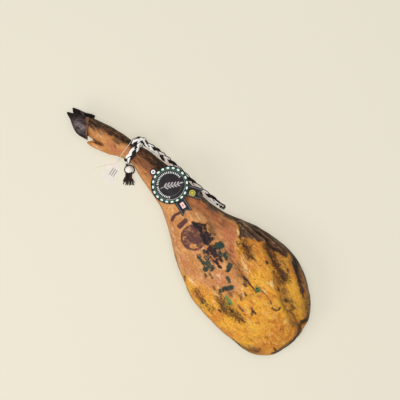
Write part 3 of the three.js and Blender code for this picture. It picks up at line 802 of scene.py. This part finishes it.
def paintLeg(mesh, points, normals):
    flat = points[:, :2]
    drawn = points * (0.5, 1, 1)
    loose = flat + np.stack([fractal(drawn, 16, 13), fractal(drawn, 16, 17)], axis=1) * 3.6
    tight = flat + np.stack([fractal(points, 8, 19), fractal(points, 8, 23)], axis=1) * 1.8
    top = ramp(normals[:, 2], -0.25, 0.15)
    under = (1 - ramp(normals[:, 2] + 0.12 * fractal(points, 20, 29), -0.72, -0.5)) * ramp(points[:, 0], -30, 30)
    edgeSoft = 9 + 50 * ramp(points[:, 0], 84, 150)
    skin = insideOf(loose, legSet["skinOutline"], edgeSoft) * np.maximum(top, 1 - ramp(points[:, 0], -20, 60))
    bared = np.max([insideOf(loose, outline, 15) for outline in legSet["leanAreas"]], axis=0)
    lean = np.maximum(bared * top, under)

    # the far side is darkened by its smoke colour and by painted shade, and the near outline a little by painted shade
    reach = fromFarEdge(points)
    uneven = 1 + 0.40 * fractal(drawn, 14, 43) + 0.25 * lumps(points * (0.3, 1, 1), 5, 44)
    depth = np.interp(points[:, 0], *np.array(legSet["farShade"], float).T) * uneven
    farShade = 1 - ramp(reach, 0.15 * depth, 1.25 * depth)
    mirrored = fromFarEdge(points * (1, -1, 1))
    near = np.interp(points[:, 0], *np.array(legSet["nearShade"], float).T) * uneven
    nearShade = 0.42 * (1 - ramp(mirrored, 0.2 * near, 1.6 * near))
    sides = ramp(normals[:, 2], -0.7, -0.1)
    # dark marks, partly painted shade in the creases
    marks = brush(tight, legSet["darkBandsAndCreaseShade"], crisp=1.5) * ramp(normals[:, 2], -0.6, 0.0)
    threads = brush(loose, legSet["leanStrips"], crisp=1.1) * top
    # browning, with painted shade in the valleys and along the far side
    hazeAndShade = 0.5 * np.clip(brush(loose, legSet["brownHazeAndShade"], crisp=1.0), 0, 1.2) * top
    # the dark mask holds staining, lean threads and painted shade together
    sootAndShade = np.maximum(np.maximum(farShade, nearShade) * sides, np.maximum(marks, threads))
    sootAndShade = np.clip(np.maximum(sootAndShade + hazeAndShade * 0.5, hazeAndShade), 0, 1)

    pale = np.maximum(brush(tight, legSet["paleAndHighlightAreas"], crisp=1.2), brush(loose, legSet["leanTan"], crisp=1.0)) * top
    speck = np.maximum(brush(loose, legSet["speckled"], crisp=1.2) * top, 0.31 * ramp(points[:, 0], 60, 200))
    red = brush(loose, legSet["redAreas"], crisp=1.2)

    ring = inkSet["ring"]
    off = np.linalg.norm(tight - np.array(ring["centre"]), axis=1)
    purple = 1 - ramp(np.abs(off - ring["radius"]), 0.3 * ring["width"], 0.75 * ring["width"])
    wash = dabs(tight, inkSet["wash"]) * (1 - dabs(tight, inkSet["washGaps"]))
    purple = np.maximum(np.maximum(purple, wash), brush(tight, [inkSet["sideArc"]])) * top
    black = np.maximum(insideOf(tight, inkSet["blot"], 9), dabs(tight, inkSet["black"])) * top
    green = dabs(tight, inkSet["green"]) * top
    bright = dabs(tight, inkSet["brightGreen"]) * top
    bone = under * insideOf(loose, legSet["bone"], 6)
    fringe = under * insideOf(loose, legSet["underside"], 26)
    writePaint(mesh, "rindPaint", [skin, lean, sootAndShade, pale])
    writePaint(mesh, "markPaint", [speck, red, bone, fringe])
    writePaint(mesh, "inkPaint", [purple, black, green, bright])


def curedMeat():
    made, tree, shader = newMaterial("cured ham")
    skin, lean, sootAndShade, pale = readPaint(tree, "rindPaint")
    speck, red, bone, fringe = readPaint(tree, "markPaint")
    purple, black, green, bright = readPaint(tree, "inkPaint")
    broad = noiseAt(tree, objectPoint(tree), 15, 3, 0.6)
    mottle = noiseAt(tree, objectPoint(tree, (0.5, 1, 1)), 75, 4, 0.65, 0.5)
    streak = noiseAt(tree, objectPoint(tree, (0.2, 1, 1)), 170, 4, 0.7, 0.6)
    grit = noiseAt(tree, objectPoint(tree, (0.6, 1, 1)), 330, 3, 0.7)
    centred = {k: maths(tree, "SUBTRACT", v, 0.5) for k, v in (("mottle", mottle), ("streak", streak), ("grit", grit))}

    def textured(mottled, streaked, gritty=0.0):
        parts = [maths(tree, "MULTIPLY", centred[k], v) for k, v in zip(centred, (mottled, streaked, gritty))]
        return maths(tree, "ADD", maths(tree, "ADD", parts[0], parts[1]), parts[2])

    def ragged(value, mottled, streaked, gritty=0.0):
        # a painted mask broken up by the meat's own texture, less so where there is little of it
        held = remap(tree, value, 0.0, 0.3, 0.15, 1)
        return maths(tree, "ADD", value, maths(tree, "MULTIPLY", textured(mottled, streaked, gritty), held))

    fat = blendColour(tree, remap(tree, broad, 0.40, 0.60), (0.80, 0.285, 0.032), (1.0, 0.470, 0.042))
    fat = blendColour(tree, remap(tree, mottle, 0.50, 0.64, 0, 0.8), fat, (1.0, 0.56, 0.075))
    fat = blendColour(tree, remap(tree, mottle, 0.46, 0.34, 0, 0.55), fat, (0.50, 0.185, 0.024))
    fat = blendColour(tree, remap(tree, streak, 0.55, 0.66, 0, 0.55), fat, (1.0, 0.66, 0.20))
    fat = blendColour(tree, remap(tree, streak, 0.44, 0.33, 0, 0.42), fat, (0.36, 0.115, 0.016))

    rind = blendColour(tree, remap(tree, mottle, 0.38, 0.62), (0.60, 0.235, 0.065), (0.86, 0.41, 0.15))
    rind = blendColour(tree, red, rind, (0.57, 0.160, 0.070))
    rind = blendColour(tree, remap(tree, streak, 0.54, 0.68, 0, 0.35), rind, (0.98, 0.60, 0.30))
    rind = blendColour(tree, remap(tree, streak, 0.46, 0.34, 0, 0.55), rind, (0.34, 0.11, 0.03))
    rind = blendColour(tree, remap(tree, broad, 0.52, 0.64, 0, 0.5), rind, (0.95, 0.50, 0.20))
    thinned = remap(tree, maths(tree, "ADD", skin, textured(1.0, 1.2)), 0.55, 1.0, 0.75, 0)
    rind = blendColour(tree, thinned, rind, (0.90, 0.40, 0.10))

    colour = blendColour(tree, remap(tree, maths(tree, "ADD", skin, textured(1.8, 2.2)), 0.10, 0.80), fat, rind)
    # pale streaks and painted highlights, drawn in cream
    paleAndHighlightMask = remap(tree, ragged(pale, 1.8, 2.0, 1.2), 0.25, 0.85, 0, 0.85)
    meat = blendColour(tree, remap(tree, streak, 0.42, 0.60), (0.034, 0.022, 0.020), (0.145, 0.092, 0.070))
    meat = blendColour(tree, remap(tree, mottle, 0.54, 0.66, 0, 0.6), meat, (0.27, 0.155, 0.085))
    colour = blendColour(tree, remap(tree, ragged(lean, 2.0, 2.8), 0.25, 0.75), colour, meat)
    cream = blendColour(tree, skin, (1.0, 0.66, 0.27), (1.0, 0.68, 0.40))
    colour = blendColour(tree, paleAndHighlightMask, colour, cream)
    hidden = blendColour(tree, remap(tree, mottle, 0.36, 0.64), (0.13, 0.028, 0.018), (0.32, 0.085, 0.04))
    hidden = blendColour(tree, remap(tree, streak, 0.56, 0.66, 0, 0.75), hidden, (0.66, 0.42, 0.22))
    colour = blendColour(tree, fringe, colour, hidden)
    colour = blendColour(tree, bone, colour, (0.62, 0.50, 0.33))

    # staining and painted shade go brown first, and then nearly black
    sootyAndShaded = ragged(sootAndShade, 1.4, 1.3, 0.9)
    colour = blendColour(tree, remap(tree, sootyAndShaded, 0.12, 0.75, 0, 0.90), colour, (0.175, 0.070, 0.024))
    colour = blendColour(tree, remap(tree, sootyAndShaded, 0.60, 1.15, 0, 0.95), colour, (0.012, 0.006, 0.004))

    small = {"Vector": objectPoint(tree, (0.75, 1, 1)), "Scale": 360, "Amount": speck}
    large = {"Vector": objectPoint(tree, (0.60, 1, 1)), "Scale": 180, "Amount": maths(tree, "MULTIPLY", speck, 0.75)}
    flecks = [useGroup(tree, flecksGroup, inputs)["Mask"] for inputs in (small, large)]
    specks = maths(tree, "MAXIMUM", *flecks)
    colour = blendColour(tree, maths(tree, "MULTIPLY", specks, 0.82), colour, (0.060, 0.022, 0.009))
    shade = remap(tree, grit, 0.36, 0.58, 0.55, 1.0)
    grey = addNode(tree, "ShaderNodeCombineColor", {0: shade, 1: shade, 2: shade}).outputs[0]
    colour = blendColour(tree, 0.65, colour, grey, "MULTIPLY")

    for ink, tint, strength, full in [
        (purple, (0.078, 0.023, 0.034), 0.94, 1.05),
        (bright, (0.085, 0.27, 0.085), 0.85, 0.85),
        (green, (0.010, 0.042, 0.032), 0.96, 0.80),
        (black, (0.012, 0.006, 0.010), 0.97, 0.75),
    ]:
        mask = remap(tree, ragged(ink, 2.4, 0.6, 2.2), 0.18, full, 0, strength)
        colour = blendColour(tree, mask, colour, tint)
    tree.links.new(colour, shader.inputs["Base Color"])

    oil = remap(tree, maths(tree, "ADD", broad, textured(0.0, 0.3, 0.4)), 0.35, 0.65, 0.40, 0.66)
    tree.links.new(oil, shader.inputs["Roughness"])
    shader.inputs["Specular IOR Level"].default_value = 0.22

    height = maths(tree, "ADD", maths(tree, "MULTIPLY", specks, -0.35), textured(0.9, 1.1, 0.45))
    tree.links.new(bumpFrom(tree, height, 2.4 * mm, 0.9), shader.inputs["Normal"])
    return made


legMesh = copyOfNode("leg", legSet["voxel"])
points, normals = readPoints(legMesh)
writePoints(legMesh, shapeLeg(points, normals))
paintLeg(legMesh, points, normals)
legPiece = place(finishSculpt(legMesh, curedMeat(), "ham_leg"), "cured_meat", "leg")
print("leg:", len(legMesh.polygons), "faces")

legTree = BVHTree.FromPolygons([v.co for v in legMesh.vertices], [tuple(p.vertices) for p in legMesh.polygons])

# ---- the hoof's two claws ----
clawSet = {"voxel": 0.95, "ridgeDepth": 0.4, "ridgeSpacing": 3.6, "hem": -367}


def clawHorn():
    made, tree, shader = newMaterial("hoof horn")
    wearAndSheen, rim, rings, _ = readPaint(tree, "hornPaint")
    grain = noiseAt(tree, objectPoint(tree, (0.2, 1, 1)), 420, 4, 0.65)
    cloud = noiseAt(tree, objectPoint(tree), 80, 4, 0.65)
    scratches = useGroup(tree, flecksGroup, {"Vector": objectPoint(tree, (0.2, 1, 1)), "Scale": 420, "Amount": 0.45})["Mask"]
    colour = blendColour(tree, remap(tree, cloud, 0.38, 0.62), (0.006, 0.004, 0.004), (0.020, 0.014, 0.013))
    mix = maths(tree, "ADD", cloud, maths(tree, "MULTIPLY", grain, 0.6))
    # a painted highlight: lighter grey horn where the mask lies, with scratches and growth rings showing inside it
    sheenPatch = maths(tree, "MULTIPLY", wearAndSheen, remap(tree, mix, 0.62, 1.0))
    colour = blendColour(tree, sheenPatch, colour, (0.30, 0.225, 0.225))
    colour = blendColour(tree, maths(tree, "MULTIPLY", rings, maths(tree, "MULTIPLY", wearAndSheen, 0.55)), colour, (0.05, 0.03, 0.032))
    colour = blendColour(tree, maths(tree, "MULTIPLY", scratches, maths(tree, "MULTIPLY", wearAndSheen, 0.7)), colour, (0.42, 0.34, 0.33))
    colour = blendColour(tree, maths(tree, "MULTIPLY", rim, remap(tree, grain, 0.35, 0.6, 0.25, 1.0)), colour, (0.33, 0.155, 0.085))
    tree.links.new(colour, shader.inputs["Base Color"])
    tree.links.new(remap(tree, grain, 0.35, 0.65, 0.45, 0.7), shader.inputs["Roughness"])
    shader.inputs["Specular IOR Level"].default_value = 0.12
    tree.links.new(bumpFrom(tree, maths(tree, "ADD", grain, cloud), 0.6 * mm, 0.8), shader.inputs["Normal"])
    return made


hornMaterial = clawHorn()


def makeClaw(node, tipAt, sheenAt, sheenReach, name):
    mesh = copyOfNode(node, clawSet["voxel"])
    points, normals = readPoints(mesh)
    fromTip = np.linalg.norm(points - np.array(tipAt), axis=1)
    rings = np.sin(2 * np.pi * (fromTip + 1.5 * lumps(points, 14, 31)) / clawSet["ridgeSpacing"])
    # the horn grows out under a ragged hem of skin
    hem = points[:, 0] + points[:, 1] - clawSet["hem"] + 5.5 * lumps(points, 7, 37) + 2.5 * lumps(points, 2.5, 38)
    back = ramp(hem, -22, -4)
    push = clawSet["ridgeDepth"] * rings * ramp(fromTip, 12, 30) + 0.7 * lumps(points, 12, 33) + 0.8 * back * lumps(points, 4, 35)
    writePoints(mesh, points + normals * push[:, None])
    lit = ramp(normals[:, 2], 0.25, 0.75)
    # a painted highlight on the upward faces around the given point
    wearAndSheen = np.clip(1.35 - np.linalg.norm((points - np.array(sheenAt)) / np.array(sheenReach), axis=1), 0, 1) * lit
    writePaint(mesh, "hornPaint", [wearAndSheen, ramp(hem, -8, 6) * lit, 0.5 - 0.5 * rings, wearAndSheen])
    return place(finishSculpt(mesh, hornMaterial, name), "horn", node)


makeClaw("outer_claw", (-399, -38, 60), (-352, -37, 78), (25, 15, 22), "hoof_claw_outer")
clawSet["hem"] = -330  # the far claw stays black to its root
makeClaw("inner_claw", (-400, -21, 39), (-372, -14, 46), (7, 1.6, 4), "hoof_claw_inner")
print("claws are shaped")

# ---- the rope round the shank ----
collarSet = {"at": -213.5, "lean": -0.2, "clearance": 3.4, "from": 118, "turns": 360}


def shankRing(at, lean, clearance, startDegrees, sweepDegrees, steps):
    # points round the shank a little off its surface, and the way out from it
    axis = np.array([at, 11.5, 57.0])
    points, outs = [], []
    for turn in np.radians(startDegrees + np.linspace(0, sweepDegrees, steps)):
        out = np.array([0, math.cos(turn), math.sin(turn)])
        origin = axis + (lean * 26 * math.cos(turn), 0, 0)
        hit, normal, _, _ = legTree.ray_cast(Vector((origin + out * 80) * mm), Vector(-out))
        points.append(np.array(hit) / mm + out * clearance)
        outs.append(out)
    points = np.array(points)
    for _ in range(3):
        points[1:-1] = (points[:-2] + 2 * points[1:-1] + points[2:]) / 4
    return points, np.array(outs)


collarStyle = dict(plaitStyle, swing=4.9, weave=1.4, strandWidth=4.9, strandThickness=2.1, period=64)
bm = bmesh.new()
ringPoints, ringOuts = shankRing(collarSet["at"], collarSet["lean"], collarSet["clearance"], 62, 352, 96)
plait(bm, ringPoints, ringOuts, collarStyle, phase=1.2)
# the hitch: the plait comes up over itself and leaves along the shank
hitchRoutes = [
    [(-229, 27, 90), (-231.5, 36, 88.5), (-230, 45, 84), (-224, 52, 78), (-214, 54.5, 73), (-203, 52.5, 69.5)],
    [(-214, 24, 93.5), (-220, 34, 91), (-222, 42, 86), (-217, 47.5, 80), (-208, 49, 75), (-198, 50, 70)],
]
for k, route in enumerate(hitchRoutes):
    path = smoothRoute(route, 2.0)
    centre = np.array([-214, 30, 62.0])
    plait(bm, path, unit(path - centre), dict(collarStyle, swing=3.4, strandWidth=3.8, period=48), phase=2.2 * k, ease=10)
collar = place(toObject(bm, "rope_collar_plait", [whiteYarn, blackYarn]), "plaited_rope", "rope_collar")

# ---- the tag thread's loop ----
bm = bmesh.new()
loopPoints, loopOuts = shankRing(-233.5, -0.21, 0.9, 0, 360, 72)
sweepTube(bm, loopPoints[:-1], loopOuts[:-1], 0.8, 0.8, 8, closed=True)
threadLoop = place(toObject(bm, "tag_thread_loop_twine", [creamTwine]), "tag_thread", "tag_thread_loop")

# ---- the tassel ----
tasselSet = {
    "cord": [(-209, -14.5, 28.5), (-208.6, -16.8, 25.4), (-207.4, -19, 21.6), (-205.4, -21, 17.8), (-202.8, -22.5, 14.4)],
    "knotAt": (-193, -25, 10.3), "knotRadius": 8.6, "wraps": 11, "locks": 28, "threadsPerLock": 7, "fringeLength": 33,
    "yarn": 1.45,
}
bm = bmesh.new()
path = smoothRoute(tasselSet["cord"], 1.0)
sweepTube(bm, path, np.tile((1.0, 0, 0), (len(path), 1)), 2.3, 2.3, 10)
tasselCord = place(toObject(bm, "tassel_cord_yarn", [blackYarn]), "black_yarn", "tassel_cord")

bm = bmesh.new()
knotAt = np.array(tasselSet["knotAt"])
hang = unit(np.array([0.68, -0.73, -0.05]))
bmesh.ops.create_uvsphere(bm, u_segments=20, v_segments=12, radius=tasselSet["knotRadius"] * 0.93 * mm, matrix=Matrix.Translation(Vector(knotAt * mm)))
t = np.linspace(0.06, 0.94, 300)
polar = np.pi * t
turn = 2 * np.pi * tasselSet["wraps"] * t
across = unit(np.cross(hang, (0, 0, 1.0)))
over = np.cross(across, hang)
wound = (
    np.outer(np.cos(polar), -hang)
    + (np.sin(polar) * np.cos(turn))[:, None] * across
    + (np.sin(polar) * np.sin(turn))[:, None] * over
)
sweepTube(bm, knotAt + wound * tasselSet["knotRadius"], wound, tasselSet["yarn"], tasselSet["yarn"] * 0.8, 8)
tasselKnot = place(toObject(bm, "tassel_wound_knot", [whiteYarn]), "white_yarn", "tassel_knot")

# the fringe: wavy locks, each a few threads drawn together towards its tip
bm = bmesh.new()
for k in range(tasselSet["locks"]):
    spin = 2.399963 * k
    share = math.sqrt((k + 0.5) / tasselSet["locks"])
    aside, high = math.cos(spin) * share, math.sin(spin) * share
    reach = tasselSet["fringeLength"] * rng.uniform(0.62, 1.08)
    lean = 0.30 * aside + 0.16 * rng.standard_normal()
    wave = rng.uniform(1.0, 2.4, 2) * rng.choice((-1, 1), 2)
    heading = hang + across * lean
    low = max(2.0, 4.2 + high * 2.6)
    for thread in range(tasselSet["threadsPerLock"]):
        strand = across * rng.uniform(-1, 1) * 1.7 + over * rng.uniform(-1, 1) * 1.5
        route = []
        for share in (0.55, 0.95, 1.4, 1.9, 2.5):
            run = (share - 0.55) / 1.95
            at = knotAt + heading * (tasselSet["knotRadius"] * 0.7 + reach * run)
            at = at + across * (aside * 4.5 * (1 - run) + wave[0] * math.sin(5.2 * run) + wave[1] * run * run)
            at = at + strand * (1.15 - 0.75 * run)
            at[2] = max(1.1, knotAt[2] * (1 - run) ** 1.6 + (high * 4.4) * (1 - run) + low * run + strand[2] * (1 - run))
            route.append(at)
        lock = smoothRoute(route, 3.4)
        size = np.linspace(1.35, 0.7, len(lock)) * rng.uniform(0.85, 1.1)
        sweepTube(bm, lock, np.tile((0, 0, 1.0), (len(lock), 1)), size, size, 6, int(rng.random() < 0.4))
# black yarns lie over the knot and beside it
for route in (
    [(-203, -27, 8), (-201, -17, 11), (-194, -12.5, 13), (-185, -14, 12), (-180.5, -20, 8), (-181, -28, 5)],
    [(-202, -20, 9), (-203.5, -26, 7.5), (-201, -32, 6.5), (-195, -35.5, 6), (-188, -35, 6)],
):
    arch = smoothRoute(route, 1.5)
    sweepTube(bm, arch, unit(arch - knotAt), 1.8, 1.8, 8)
fringe = place(toObject(bm, "tassel_fringe_threads", [blackYarn, brownYarn]), "black_yarn", "tassel_fringe")
print("rope, thread and tassel are tied")

# ---- the round label ----
labelSet = {"at": (-93, 25, 105.2), "turn": 9.4, "slope": 7.2, "thickness": 0.9, "ovals": 20, "ovalRing": 42, "tailTurn": 20.5}
labelPlace = (
    Matrix.Translation(Vector(labelSet["at"]) * mm)
    @ Matrix.Rotation(-math.radians(labelSet["slope"]), 4, "Y")
    @ Matrix.Rotation(math.radians(labelSet["turn"]), 4, "Z")
)


def cardMaterial(name, colour, rough, flecks=0.25, coat=0.0):
    made, tree, shader = newMaterial(name)
    wearAndSheen = noiseAt(tree, objectPoint(tree), 240, 4, 0.65)
    broad = noiseAt(tree, objectPoint(tree), 45, 2)
    lighter = tuple(min(1, c * 1.5 + 0.012) for c in colour)
    tone = blendColour(tree, remap(tree, broad, 0.35, 0.7, 0, flecks), colour, lighter)
    tree.links.new(tone, shader.inputs["Base Color"])
    tree.links.new(remap(tree, wearAndSheen, 0.35, 0.7, rough - 0.08, rough + 0.1), shader.inputs["Roughness"])
    shader.inputs["Coat Weight"].default_value = coat
    shader.inputs["Specular IOR Level"].default_value = 0.1
    tree.links.new(bumpFrom(tree, wearAndSheen, 0.06 * mm, 0.5), shader.inputs["Normal"])
    return made


inks = {
    "card": cardMaterial("label card", (0.020, 0.015, 0.017), 0.5, 0.6),
    "green": cardMaterial("label green", (0.016, 0.072, 0.045), 0.5, 0.4),
    "pale": cardMaterial("label pale green", (0.84, 0.95, 0.86), 0.45),
    "grey": cardMaterial("label grey", (0.46, 0.42, 0.42), 0.5),
    "soft": cardMaterial("label soft grey", (0.24, 0.21, 0.22), 0.5),
    "yellow": cardMaterial("label yellow", (0.58, 0.50, 0.08), 0.4),
    "olive": cardMaterial("label olive", (0.20, 0.17, 0.02), 0.4),
    "pink": cardMaterial("label pink", (0.92, 0.68, 0.66), 0.45),
    "red": cardMaterial("label red", (0.60, 0.12, 0.10), 0.45),
    "line": cardMaterial("label outline", (0.15, 0.16, 0.16), 0.5),
}
inkOrder = list(inks)


def printDisc(bm, centre, radii, spin, level, ink, segments=20):
    # a thin printed oval; level counts the layers above the card
    height = labelSet["thickness"] + 0.06 * level
    where = Matrix.Translation(Vector((*centre, height)) * mm) @ Matrix.Rotation(spin, 4, "Z")
    where = where @ Matrix.Diagonal((radii[0] * mm, radii[1] * mm, 1, 1))
    made = bmesh.ops.create_circle(bm, cap_ends=True, radius=1, segments=segments, matrix=where)["verts"]
    face = made[0].link_faces[0]
    sunk = bmesh.ops.extrude_face_region(bm, geom=[face])["geom"]
    bmesh.ops.translate(bm, vec=(0, 0, -0.08 * mm), verts=[g for g in sunk if isinstance(g, bmesh.types.BMVert)])
    for f in {f for v in made for f in v.link_faces}:
        f.material_index = inkOrder.index(ink)


def printLine(bm, route, width, level, ink, closed=False):
    # a flat printed line with square ends, following a route in the card's plane
    height = labelSet["thickness"] + 0.06 * level
    path = np.array([(x, y, height) for x, y in route], float)
    sweepTube(bm, path, np.tile((0, 0, 1.0), (len(path), 1)), width / 2 * 1.2, 0.09, 6, inkOrder.index(ink), closed=closed)


def arcPoints(radius, low, high, steps, centre=(0, 0)):
    turns = np.radians(np.linspace(low, high, steps))
    return [(centre[0] + radius * math.cos(a), centre[1] + radius * math.sin(a)) for a in turns]


def printRing(bm, inner, outer, level, ink, segments=96):
    height = labelSet["thickness"] + 0.06 * level
    made = bmesh.ops.create_circle(bm, cap_ends=False, radius=inner * mm, segments=segments, matrix=Matrix.Translation((0, 0, height * mm)))["verts"]
    edges = list({e for v in made for e in v.link_edges})
    grown = bmesh.ops.extrude_edge_only(bm, edges=edges)["geom"]
    verts = [g for g in grown if isinstance(g, bmesh.types.BMVert)]
    bmesh.ops.scale(bm, vec=(outer / inner, outer / inner, 1), verts=verts)
    faces = [g for g in grown if isinstance(g, bmesh.types.BMFace)]
    if faces[0].normal.z < 0:
        bmesh.ops.reverse_faces(bm, faces=faces)
    walls = bmesh.ops.extrude_face_region(bm, geom=faces, use_keep_orig=True)["geom"]
    sunk = [g for g in walls if isinstance(g, bmesh.types.BMVert)]
    bmesh.ops.translate(bm, vec=(0, 0, -0.05 * mm), verts=sunk)
    for f in {f for v in sunk + verts + made for f in v.link_faces}:
        f.material_index = inkOrder.index(ink)


bm = bmesh.new()
printRing(bm, 36.2, 45.2, 1, "green")
for k in range(labelSet["ovals"]):
    for share, radius, half, level, ink in ((0.5, 42, (2.4, 3.7), 2, "pale"), (1.0, 45.4, (1.5, 2.2), 3, "card")):
        a = 2 * math.pi * (k + share) / labelSet["ovals"]
        printDisc(bm, (radius * math.cos(a), radius * math.sin(a)), half, a, level, ink)
printLine(bm, arcPoints(37.2, 0, 354, 72), 0.9, 2, "soft", closed=True)
printLine(bm, arcPoints(36.6, -66, 24, 30), 1.0, 3, "grey")
printLine(bm, arcPoints(28.0, -62, 32, 30), 0.8, 1, "line")
# plain ticks go round the left and lower sides
for low, high, count in ((78, 216, 18), (228, 306, 11)):
    for a in np.radians(np.linspace(low, high, count)):
        printLine(bm, [(r * math.cos(a), r * math.sin(a)) for r in (28.4, 33.2)], 1.7, 1, "pale")
# and a plain sprig of leaves fills the middle
sprig = {"stem": [(-13, -21), (-6, -9), (3, 1), (11, 9), (17, 18)], "pairs": 5, "leaf": (5.4, 1.75), "splay": 42}
stem = smoothRoute([(x, y, 0) for x, y in sprig["stem"]], 1.6)
printLine(bm, [(x, y) for x, y, _ in stem], 1.3, 1, "grey")
for k in range(sprig["pairs"]):
    at = stem[int((k + 1.2) / (sprig["pairs"] + 1.2) * (len(stem) - 1))]
    heading = math.atan2(*(stem[-1] - stem[0])[1::-1])
    for turn in (1, -1):
        a = heading + turn * math.radians(sprig["splay"])
        reach = sprig["leaf"][0] * (1.05 - 0.07 * k)
        centre = (at[0] + (reach + 0.6) * math.cos(a), at[1] + (reach + 0.6) * math.sin(a))
        printDisc(bm, centre, (reach, sprig["leaf"][1]), a, 2, "grey", 14)
printDisc(bm, stem[-1][:2] + 4.0 * unit(stem[-1] - stem[-4])[:2], (4.6, 1.7), heading, 2, "grey", 14)


def onTail(side, along, across):
    a = math.radians(side * labelSet["tailTurn"])
    return (along * math.cos(a) - across * math.sin(a), along * math.sin(a) + across * math.cos(a))


for side in (1, -1):
    inset = [(47, -10.6), (80.2, -11.4), (72.2, 0), (80.2, 11.4), (47, 10.6)]
    printLine(bm, [onTail(side, *p) for p in inset], 1.6, 1, "line")
for level, radius, ink in [(1, 7.8, "yellow"), (2, 5.4, "olive"), (3, 3.4, "yellow")]:
    printDisc(bm, onTail(1, 58.5, -3.6), (radius, radius), 0, level, ink, 28)
for level, half, ink in [(1, (7.6, 5.4), "pink"), (2, (3.2, 1.6), "red")]:
    corners = [onTail(-1, 59.6 + end * half[0], 0.4) for end in (-1, 1)]
    printLine(bm, corners, half[1] * 2 / 1.2, level, ink)
labelPrint = toObject(bm, "label_print", list(inks.values()), smooth=False)
labelPrint.data.transform(labelPlace)
place(labelPrint, "label_card")

nodes["round_label"].data.materials.clear()
nodes["round_label"].data.materials.append(inks["card"])
nodes["label_eyelet"].data.materials.clear()
nodes["label_eyelet"].data.materials.append(cardMaterial("eyelet enamel", (0.84, 0.80, 0.83), 0.3, coat=0.3))
print("label is printed")


# ---- the small paper tag ----
def tagPaper():
    made, tree, shader = newMaterial("tag paper")
    fibre = noiseAt(tree, objectPoint(tree), 900, 4, 0.7)
    cloud = noiseAt(tree, objectPoint(tree), 60, 2)
    tone = blendColour(tree, remap(tree, cloud, 0.35, 0.7), (0.85, 0.81, 0.745), (0.80, 0.76, 0.70))
    tree.links.new(blendColour(tree, remap(tree, fibre, 0.55, 0.8, 0, 0.2), tone, (0.66, 0.60, 0.54)), shader.inputs["Base Color"])
    shader.inputs["Roughness"].default_value = 0.85
    shader.inputs["Specular IOR Level"].default_value = 0.2
    tree.links.new(bumpFrom(tree, fibre, 0.1 * mm, 0.5), shader.inputs["Normal"])
    return made


nodes["paper_tag"].data.materials.clear()
nodes["paper_tag"].data.materials.append(tagPaper())
# three plain ruled lines, side by side down the tag
tagRules = {"from": (-223, -50), "heading": (0.24, -0.97), "length": 20, "spacing": 5.6, "count": 3, "width": 1.7}
bm = bmesh.new()
ruleHeading = np.array(tagRules["heading"])
for k in range(tagRules["count"]):
    start = np.array(tagRules["from"]) + np.array((-ruleHeading[1], ruleHeading[0])) * tagRules["spacing"] * k
    line = [(*(start + ruleHeading * tagRules["length"] * run), 1.03) for run in np.linspace(0, 1, 8)]
    sweepTube(bm, np.array(line), np.tile((0, 0, 1.0), (len(line), 1)), tagRules["width"] / 2 * 1.2, 0.09, 6)
place(toObject(bm, "tag_ruled_lines", [inks["line"]], smooth=False), "tag_paper")

# ---- floor and light ----
stageSet = {"floor": (0.83, 0.79, 0.65), "floorGlow": 0.55, "world": 0.28, "overhead": 126, "key": 28}

floorMaterial, tree, shader = newMaterial("floor")
shader.inputs["Base Color"].default_value = (*(c * (1 - stageSet["floorGlow"]) for c in stageSet["floor"]), 1)
shader.inputs["Emission Color"].default_value = (*stageSet["floor"], 1)
shader.inputs["Emission Strength"].default_value = stageSet["floorGlow"]
shader.inputs["Roughness"].default_value = 0.9
shader.inputs["Specular IOR Level"].default_value = 0.0
bm = bmesh.new()
bmesh.ops.create_grid(bm, x_segments=1, y_segments=1, size=6)
floor = toObject(bm, "floor", [floorMaterial], smooth=False)

world = bpy.data.worlds.new("studio")
scene.world = world
world.use_nodes = True
world.node_tree.nodes["Background"].inputs["Color"].default_value = (1, 0.985, 0.96, 1)
world.node_tree.nodes["Background"].inputs["Strength"].default_value = stageSet["world"]


def softLight(name, at, size, power, colour=(1, 1, 1)):
    data = bpy.data.lights.new(name, "AREA")
    data.shape = "RECTANGLE"
    data.size, data.size_y = size
    data.energy = power
    data.color = colour
    made = bpy.data.objects.new(name, data)
    scene.collection.objects.link(made)
    made.location = at
    made.rotation_euler = (Vector((0.05, 0, 0.05)) - Vector(at)).to_track_quat("-Z", "Y").to_euler()
    return made


softLight("overhead", (0, 0.05, 4.9), (2.4, 2.4), stageSet["overhead"])
softLight("key", (-0.5, -1.9, 2.2), (1.5, 1.5), stageSet["key"], (1, 0.985, 0.96))
print("stage is set")
